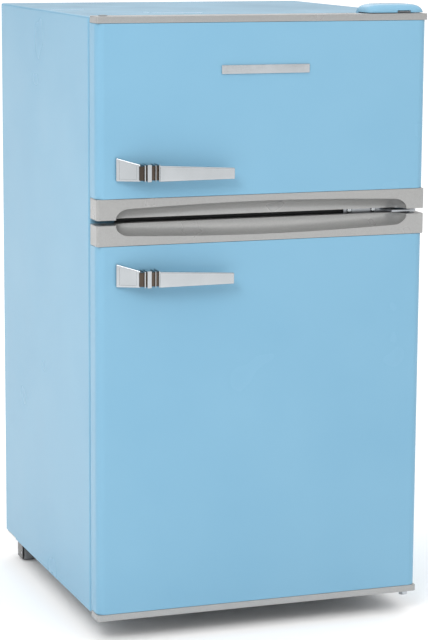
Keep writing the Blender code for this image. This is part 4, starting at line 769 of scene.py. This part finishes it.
def hinge_dome():
    """A smooth low dome over the top hinge, raised off the door's trim along its front."""
    low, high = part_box("hinge_cover")
    middle = (low + high) / 2
    half = (high - low) / 2

    def shell(shrink, base, crown):
        rings = []
        levels = 14
        shoulder, corner = 0.35, 0.38  # exponents: a lower one is squarer
        for k in range(levels):
            tilt = math.pi / 2 * k / levels
            size = math.cos(tilt) ** shoulder
            ring = []
            for i in range(96):
                angle = 2 * math.pi * i / 96
                cos, sin = math.cos(angle), math.sin(angle)
                x = middle.x + (half.x - shrink) * size * math.copysign(abs(cos) ** corner, cos)
                y = middle.y + (half.y - shrink) * size * math.copysign(abs(sin) ** corner, sin)
                ring.append((x, y, base + (crown - base) * math.sin(tilt)))
            rings.append(ring)
        for share in (0.7, 0.4, 0.1):
            rings.append(
                [
                    (middle.x + (x - middle.x) * share, middle.y + (y - middle.y) * share, crown)
                    for x, y, _ in rings[levels - 1]
                ]
            )
        return stacked(rings)

    wall = 1.6 * MM
    hollow = shell(wall, low.z - 3 * MM, high.z - wall)
    trim_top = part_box("freezer_door_trim")[1].z
    door_side = block(
        (low.x - 9 * MM, low.y - 9 * MM, low.z - 9 * MM), (high.x + 9 * MM, FRONT + MM, trim_top + 1.2 * MM)
    )
    right = PIVOT.x - 10.5 * MM
    notch = block((right - 20 * MM, low.y - 9 * MM, low.z), (right, low.y + 5 * MM, trim_top + 4.1 * MM))
    cover = carved(shell(0, low.z, high.z), hollow, door_side, notch)
    put("hinge_dome", cover, ENAMEL, "cabinet", ["hinge_cover"], smooth=35)


def hinge_irons():
    """The three zinc-plated hinge irons with their pins, and the screws that hold the upper two."""
    for node in ("top_hinge_bracket", "middle_hinge_bracket", "bottom_hinge_bracket"):
        keep(node, ZINC)
    for node, axis, way in (("top_hinge_screw_", "Z", 1), ("middle_hinge_screw_", "Y", -1)):
        for k in (1, 2):
            low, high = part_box(f"{node}{k}")
            middle = (low + high) / 2
            seat = (middle.x, low.y + HEAD_OUT, middle.z)
            if axis == "Z":
                seat = (middle.x, middle.y, high.z - HEAD_OUT)
            head = screw_head(seat, HEAD_RADIUS, axis, way)
            put(f"{node}{k}_head", head, CHROME, "cabinet", [f"{node}{k}"])


# Inside


def wire_shelf():
    """A shelf of welded wire, chrome plated: a frame, two cross bars and fine wires front to back."""
    low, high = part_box("freezer_shelf")
    z = (low.z + high.z) / 2
    thick = 2 * MM
    x, front, rear = high.x - thick, low.y + thick, high.y - thick
    corner = 10 * MM
    route = []
    for cx, cy, start in ((x, rear, 0), (-x, rear, 90), (-x, front, 180), (x, front, 270)):
        centre = (cx - math.copysign(corner, cx), cy - math.copysign(corner, cy - (front + rear) / 2))
        route += [(a, b, z) for a, b in arc(centre, corner, start, start + 90, 6)]
    parts = [rod(route, thick, closed=True, steps=12)]
    for share in (0.33, 0.67):
        y = front + (rear - front) * share
        parts.append(rod([(-x, y, z - 0.6 * MM), (x, y, z - 0.6 * MM)], 1.4 * MM, steps=10))
    count = 19
    for k in range(1, count):
        wire_x = -x + 2 * x * k / count
        parts.append(rod([(wire_x, front, z + 0.8 * MM), (wire_x, rear, z + 0.8 * MM)], 1.2 * MM, steps=8))
    put("wire_shelf", together(*parts), CHROME, "cabinet", ["freezer_shelf"])


def glass_shelf(node):
    """A pane with ground edges and rounded rear corners, in a white rail along its front."""
    low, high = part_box(node)
    bm = block(low, high)
    corners = [e for e in bm.edges if abs(e.verts[0].co.z - e.verts[1].co.z) > MM and e.verts[0].co.y > 0]
    rounded(bm, corners, 9 * MM, 5)
    put(node + "_pane", softened(bm, 0.5 * MM, 2, 60), GLASS, "cabinet", [node])
    rail_high = (high.x, low.y + 11 * MM, high.z + 3 * MM)
    rail = block((low.x, low.y - 1.6 * MM, low.z - 2.2 * MM), rail_high, 1.4 * MM, 3)
    groove_high = (high.x + MM, low.y + 20 * MM, high.z + 0.1 * MM)
    groove = block((low.x - MM, low.y + 2 * MM, low.z - 0.1 * MM), groove_high)
    put(node + "_front_rail", carved(rail, groove), WHITE, "cabinet")


def crisper():
    """A clear drawer with soft corners, a rolled rim and a moulded finger lip at its front."""
    low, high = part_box("crisper_drawer")
    wall = MOULDED_WALL
    outer = block(low, high, 7 * MM, 4, lambda e: any(v.co.z < low.z + MM for v in e.verts))
    inner = block(
        low + Vector((wall, wall, wall)),
        (high.x - wall, high.y - wall, high.z + 9 * MM),
        5.5 * MM,
        4,
        lambda e: any(v.co.z < low.z + 3 * MM for v in e.verts),
    )
    tub = carved(outer, inner)
    lip_high = (70 * MM, low.y + MM, high.z - 16 * MM)
    lip = block((-70 * MM, low.y - 8 * MM, high.z - 22 * MM), lip_high, 2 * MM, 3)
    put("crisper_tub", together(tub, lip), CLEAR, "crisper", ["crisper_drawer"], smooth=45)


def controls():
    """The control box with its dial, its lamp behind a ribbed lens and the plunger switch."""
    low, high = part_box("thermostat_housing")
    case = block(low, high, 3 * MM, 4)
    button_low, button_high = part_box("light_switch_button")
    middle = (button_low + button_high) / 2
    bore = turned([(low.y - MM, 5.4 * MM), (low.y + 21 * MM, 5.4 * MM)], (middle.x, 0, middle.z), "Y", 32)
    put("control_case", carved(case, bore), WHITE, "cabinet", ["thermostat_housing"])
    profile = [(button_low.y, 2.6 * MM), (button_low.y + 0.7 * MM, 4.0 * MM), (button_low.y + 2 * MM, 5 * MM)]
    profile += [(low.y + 16 * MM, 5 * MM)]
    button = turned(profile, (middle.x, 0, middle.z), "Y", 32)
    put("switch_plunger", button, WHITE, "light_switch", ["light_switch_button"])
    dial_low, dial_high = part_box("thermostat_dial")
    face = (dial_low + dial_high) / 2
    radius = (dial_high.z - dial_low.z) / 2
    rings = []
    stations = ((-0.3, 0.99, 0), (-2, 1, 0.02), (-9, 0.95, 0.035), (-11.2, 0.9, 0.02), (-12, 0.8, 0))
    for along, share, flute in stations:
        ring = []
        for k in range(96):
            angle = 2 * math.pi * k / 96
            wide = radius * (share - flute * (1 - math.cos(angle * 24)) / 2)
            x = low.x + along * MM
            ring.append((x, face.y + wide * math.cos(angle), face.z + wide * math.sin(angle)))
        rings.append(ring)
    grip_low = (dial_low.x, face.y - radius * 0.8, face.z - 2.7 * MM)
    grip = block(grip_low, (low.x - 9 * MM, face.y + radius * 0.8, face.z + 2.7 * MM), 1.2 * MM, 3)
    dial = together(stacked(rings), grip)
    put("dial_knob", dial, WHITE, "dial", ["thermostat_dial"], smooth=40)
    mark_high = (dial_low.x + MM, face.y - radius * 0.3, face.z + 0.5 * MM)
    mark_low = (dial_low.x - 0.05 * MM, face.y - radius * 0.72, face.z - 0.5 * MM)
    mark = block(mark_low, mark_high, 0.2 * MM, 1)
    put("dial_pointer", mark, BLACK, "dial")
    put("dial_figures", dial_figures(low.x, face, radius), BLACK, "cabinet")
    lens_low, lens_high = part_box("lamp_lens")
    lens = block(lens_low, lens_high, 2 * MM, 3)
    hollow_low = lens_low + Vector((1.5 * MM, 1.5 * MM, 1.5 * MM))
    hollow = block(hollow_low, (lens_high.x + 9 * MM, lens_high.y - 1.5 * MM, lens_high.z - 1.5 * MM))
    flutes = []
    for k in range(10):
        x, y = lens_low.x + 0.3 * MM, lens_low.y + 8 * MM + k * 6 * MM
        flutes.append(rod([(x, y, lens_low.z + 3 * MM), (x, y, lens_high.z - 3 * MM)], 0.8 * MM))
    lens = together(carved(lens, hollow), *flutes)
    put("lamp_cover", lens, CLEAR, "cabinet", ["lamp_lens"])
    keep("lamp_bulb", BULB)


def dial_figures(wall_x, centre, radius):
    """The figures 1 to 5 round the dial, printed on the case."""
    shapes = []
    for k in range(5):
        angle = math.radians(30 + 60 * k)
        text = bpy.data.curves.new("figure", "FONT")
        text.body = str(k + 1)
        text.size = 6 * MM
        text.extrude = 0.05 * MM
        text.align_x = text.align_y = "CENTER"
        obj = bpy.data.objects.new("figure", text)
        bpy.context.scene.collection.objects.link(obj)
        bpy.context.view_layer.update()
        mesh = bpy.data.meshes.new_from_object(obj.evaluated_get(bpy.context.evaluated_depsgraph_get()))
        bpy.data.objects.remove(obj)
        y = centre.y + (radius + 4.6 * MM) * math.cos(angle)
        z = centre.z + (radius + 4.6 * MM) * math.sin(angle)
        facing = Matrix(((0, 0, -1, wall_x - 0.05 * MM), (-1, 0, 0, y), (0, 1, 0, z), (0, 0, 0, 1)))
        mesh.transform(facing)
        bm = bmesh.new()
        bm.from_mesh(mesh)
        shapes.append(bm)
    return together(*shapes)


# Under and behind


def feet():
    """Levelling feet: a grained pad with grip notches on a threaded stud."""
    pad = [(0, 14.8, 0), (1.2, 15.9, 0), (3.0, 16, 0.5), (8.0, 16, 0.5)]
    pad += [(9.2, 15, 0), (11.4, 9.4, 0), (12.0, 8.6, 0)]
    for _, word in SIDES:
        node = f"levelling_foot_{word}"
        low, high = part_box(node)
        middle = (low + high) / 2
        rings = []
        for z, radius, notch in pad:
            ring = []
            for k in range(72):
                angle = 2 * math.pi * k / 72
                wide = (radius - notch * (1 - math.cos(angle * 18)) / 2) * MM
                ring.append((middle.x + wide * math.cos(angle), middle.y + wide * math.sin(angle), z * MM))
            rings.append(ring)
        put(f"foot_pad_{word}", stacked(rings), BLACK, f"{word}_foot", [node])
        # The stud's thread has a 1.25 mm pitch; it is drawn as rings 2.5 mm apart.
        profile = [(11.9 * MM, 3.4 * MM)]
        for k in range(15):
            z = 12.5 * MM + k * 2.5 * MM
            profile += [(z, 3.5 * MM), (z + 1.1 * MM, 4.0 * MM), (z + 1.4 * MM, 4.0 * MM)]
        profile.append((high.z, 3.2 * MM))
        stud = turned(profile, (middle.x, middle.y, 0), steps=24)
        put(f"foot_stud_{word}", stud, ZINC, f"{word}_foot")


def rollers():
    """Rear rollers of grey nylon on plain axles, in black channel brackets."""
    for _, word in SIDES:
        low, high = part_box(f"rear_roller_{word}")
        middle = (low + high) / 2
        radius = (high.z - low.z) / 2
        edge = 8 * MM
        hub = [(edge, 5 * MM), (edge - MM, 6 * MM), (edge - MM, radius - 2.5 * MM), (edge, radius - 1.6 * MM)]
        tread = [(edge - 0.5 * MM, radius - 0.4 * MM), (edge - 1.6 * MM, radius)]
        profile = [(-along, wide) for along, wide in hub + tread] + (hub + tread)[::-1]
        wheel = turned(profile, middle, "X", 48)
        put(f"roller_wheel_{word}", wheel, RUBBER, f"{word}_roller", [f"rear_roller_{word}"])
        reach = (high.x - low.x) / 2
        bevel = reach - 0.5 * MM
        profile = [(-reach, 1.9 * MM), (-bevel, 2.5 * MM), (bevel, 2.5 * MM), (reach, 1.9 * MM)]
        axle = turned(profile, middle, "X", 24)
        put(f"roller_axle_{word}", axle, ZINC, f"{word}_roller")
        keep(f"rear_roller_bracket_{word}", DIPPED)


def compressor_pot():
    """A welded oval pot, dipped black: two drawn halves lapped at a welded belt, on a stamped feet plate."""
    low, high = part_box("compressor")
    middle = (low + high) / 2
    pot_half = Vector((high.x - low.x - 28 * MM, high.y - low.y, 0)) / 2
    rings = []
    levels = 30
    for k in range(levels + 1):
        tilt = math.pi * (0.04 + 0.92 * k / levels)
        size = math.sin(tilt) ** 0.45
        cos = math.cos(tilt)
        z = middle.z - (high.z - low.z) / 2 * math.copysign(abs(cos) ** 0.8, cos)
        belt = 0.012 * math.exp(-(((z - middle.z) / (3 * MM)) ** 2))
        ring = []
        for i in range(64):
            angle = 2 * math.pi * i / 64
            wide = size * (0.985 + belt)
            x = middle.x + pot_half.x * wide * math.cos(angle)
            ring.append((x, middle.y + pot_half.y * wide * math.sin(angle), z))
        rings.append(ring)
    plate_half = Vector((high.x - low.x, 100 * MM, 0)) / 2
    plate = block(
        (middle.x - plate_half.x, middle.y - plate_half.y, low.z),
        (middle.x + plate_half.x, middle.y + plate_half.y, low.z + 3 * MM),
        12 * MM,
        5,
        lambda e: abs(e.verts[0].co.z - e.verts[1].co.z) > MM,
    )
    pot = together(stacked(rings), plate)
    put("compressor_pot", pot, DIPPED, "cabinet", ["compressor"], smooth=45)
    grommets = []
    for i in (-1, 1):
        for j in (-1, 1):
            x = middle.x + i * (plate_half.x - 12.6 * MM)
            centre = (x, middle.y + j * (plate_half.y - 12.6 * MM), low.z)
            profile = [(3.1 * MM, 8 * MM), (5 * MM, 7.6 * MM), (6 * MM, 6 * MM), (6.2 * MM, 3.2 * MM)]
            grommets.append(turned(profile, centre, steps=28))
            nut = [(6 * MM, 4.6 * MM), (9 * MM, 4.6 * MM), (9.6 * MM, 3.8 * MM)]
            grommets.append(turned(nut, centre, steps=6))
    put("compressor_grommets", together(*grommets), BLACK, "cabinet")
    low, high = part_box("start_relay_box")
    relay = block(low, high, 2 * MM, 3)
    cover_high = (low.x + 2 * MM, high.y - 6 * MM, high.z - 8 * MM)
    cover = block((low.x - 0.6 * MM, low.y + 6 * MM, low.z + 8 * MM), cover_high, 0.8 * MM, 2)
    put("relay_cover", together(relay, cover), BLACK, "cabinet", ["start_relay_box"])


def pipework():
    """Soft copper tube bent between the pot, the drier and the bay's ceiling."""
    for node in ("discharge_pipe", "suction_pipe"):
        keep(node, COPPER)
    low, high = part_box("filter_drier")
    middle = (low + high) / 2
    profile = [(0, 3.4), (5, 3.6), (9, 5.5), (12, 8.6), (15, 9), (30, 9), (31, 8.5), (33, 8.5), (34, 9)]
    profile = [(low.z + along * MM, wide * MM) for along, wide in profile]
    profile += [(high.z - down * MM, wide * MM) for down, wide in ((18, 9), (15, 8.4), (10, 4), (0, 3.2))]
    drier = turned(profile, (middle.x, middle.y, 0), steps=36)
    put("drier_cartridge", drier, COPPER, "cabinet", ["filter_drier"])


def bay_parts():
    """The drip pan, the drain, the mains gland and the plain sheet pieces of the compressor bay."""
    low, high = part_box("drip_pan")
    wall = MOULDED_WALL
    outer = block(low, high, 6 * MM, 4, lambda e: any(v.co.z < low.z + MM for v in e.verts))
    inner_high = (high.x - wall, high.y - wall, high.z + 9 * MM)
    inner = block(
        low + Vector((wall, wall, wall)),
        inner_high,
        4.5 * MM,
        4,
        lambda e: any(v.co.z < low.z + 3 * MM for v in e.verts),
    )
    put("drip_tray", carved(outer, inner), BLACK, "cabinet", ["drip_pan"], smooth=45)
    keep("drain_tube", WHITE)
    keep("mains_cord_gland", BLACK)
    keep("compressor_tray", SHEET)
    keep("bay_partition", SHEET)
    keep("base_panel", SHEET)
    for node in ("cabinet_foam", "freezer_door_foam", "fridge_door_foam"):
        keep(node, FOAM)


# Studio


def studio():
    """White paper, a surround that is brightest overhead, and soft boxes at the front left and behind."""
    floor = bmesh.new()
    bmesh.ops.create_grid(floor, x_segments=8, y_segments=8, size=30)
    mesh = bpy.data.meshes.new("paper_floor")
    floor.to_mesh(mesh)
    floor.free()
    mesh.materials.append(white_paper())
    paper = bpy.data.objects.new("paper_floor", mesh)
    bpy.context.scene.collection.objects.link(paper)
    world = bpy.data.worlds.new("white_surround")
    world.use_nodes = True
    tree = world.node_tree
    tree.nodes["Background"].inputs["Color"].default_value = (1, 1, 1, 1)
    up = add(tree, "SeparateXYZ", {"Vector": add(tree, "TexCoord").outputs["Generated"]}).outputs["Z"]
    fade = {"Value": up, "From Min": 0.0, "From Max": 0.9, "To Min": 0.3, "To Max": 1.6}
    bright = add(tree, "MapRange", fade, interpolation_type="SMOOTHSTEP").outputs["Result"]
    tree.links.new(bright, tree.nodes["Background"].inputs["Strength"])
    bpy.context.scene.world = world
    soft_box("front_soft_box", (-1.5, -2.1, 2.0), (0, 0, 0.5), 1.1, 30)
    soft_box("rear_soft_box", (1.2, 3.6, 2.4), (0, 0, 0.8), 1.8, 8)
    bpy.context.scene.view_settings.view_transform = "Standard"


def soft_box(name, place, target, size, watts):
    light = bpy.data.lights.new(name, "AREA")
    light.shape = "SQUARE"
    light.size = size
    light.energy = watts
    obj = bpy.data.objects.new(name, light)
    obj.location = place
    obj.rotation_euler = (Vector(target) - Vector(place)).to_track_quat("-Z", "Y").to_euler()
    bpy.context.scene.collection.objects.link(obj)


def camera():
    """A long lens at about door height, a fifth of a turn round to the left."""
    yaw, pitch, roll = 0.34641, -0.17426, 0.00603  # radians
    ahead = Vector((math.sin(yaw) * math.cos(pitch), math.cos(yaw) * math.cos(pitch), math.sin(pitch)))
    level = Vector((math.cos(yaw), -math.sin(yaw), 0))
    up = level.cross(ahead)
    right = level * math.cos(roll) + up * math.sin(roll)
    up = up * math.cos(roll) - level * math.sin(roll)
    lens = bpy.data.cameras.new("camera")
    lens.lens = 131.2
    lens.sensor_width = 36
    obj = bpy.data.objects.new("camera", lens)
    turn = Matrix((right, up, -ahead)).transposed().to_4x4()
    obj.matrix_world = Matrix.Translation((-1.132, -3.168, 0.9922)) @ turn
    bpy.context.scene.collection.objects.link(obj)
    bpy.context.scene.camera = obj


# Assembly

camera()
studio()
cabinet_wrap()
rear_sheet()
liner("freezer_inside", "freezer_liner")
liner("fridge_inside", "fridge_liner", step=True)
centre_rail()
door_panel("freezer_door_panel", "freezer_door_skin", "freezer_door")
door_panel("fridge_door_panel", "fridge_door_skin", "fridge_door")
door_end("freezer_door_trim", "freezer_door", False)
door_end("freezer_door_cap", "freezer_door", True)
door_end("fridge_door_cap", "fridge_door", True)
door_end("fridge_door_trim", "fridge_door", False)
freezer_space = (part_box("freezer_liner")[0].z + 13.5 * MM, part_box("freezer_liner")[1].z - 13.5 * MM)
fridge_space = (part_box("fridge_liner")[0].z + 13.5 * MM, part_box("thermostat_housing")[0].z - 12 * MM)
door_back("freezer_door_inside", "freezer_door_liner", "freezer_door", ["freezer_door_bin"], freezer_space)
fridge_bins = ["bottle_bin", "middle_door_bin", "upper_door_bin"]
door_back("fridge_door_inside", "fridge_door_liner", "fridge_door", fridge_bins, fridge_space)
seal("freezer_door_seal", "freezer_door_gasket", "freezer_door")
seal("fridge_door_seal", "fridge_door_gasket", "fridge_door")
door_bin("freezer_door_bin", "freezer_bin")
door_bin("bottle_bin", "bottle_bin")
door_bin("middle_door_bin", "middle_bin")
door_bin("upper_door_bin", "upper_bin")
pull("freezer_door_pull", "freezer_door_handle", "freezer_door")
pull("fridge_door_pull", "fridge_door_handle", "fridge_door")
badge_bar()
blanking_plug()
hinge_dome()
hinge_irons()
wire_shelf()
glass_shelf("fridge_shelf")
glass_shelf("crisper_cover")
crisper()
controls()
feet()
rollers()
compressor_pot()
pipework()
bay_parts()
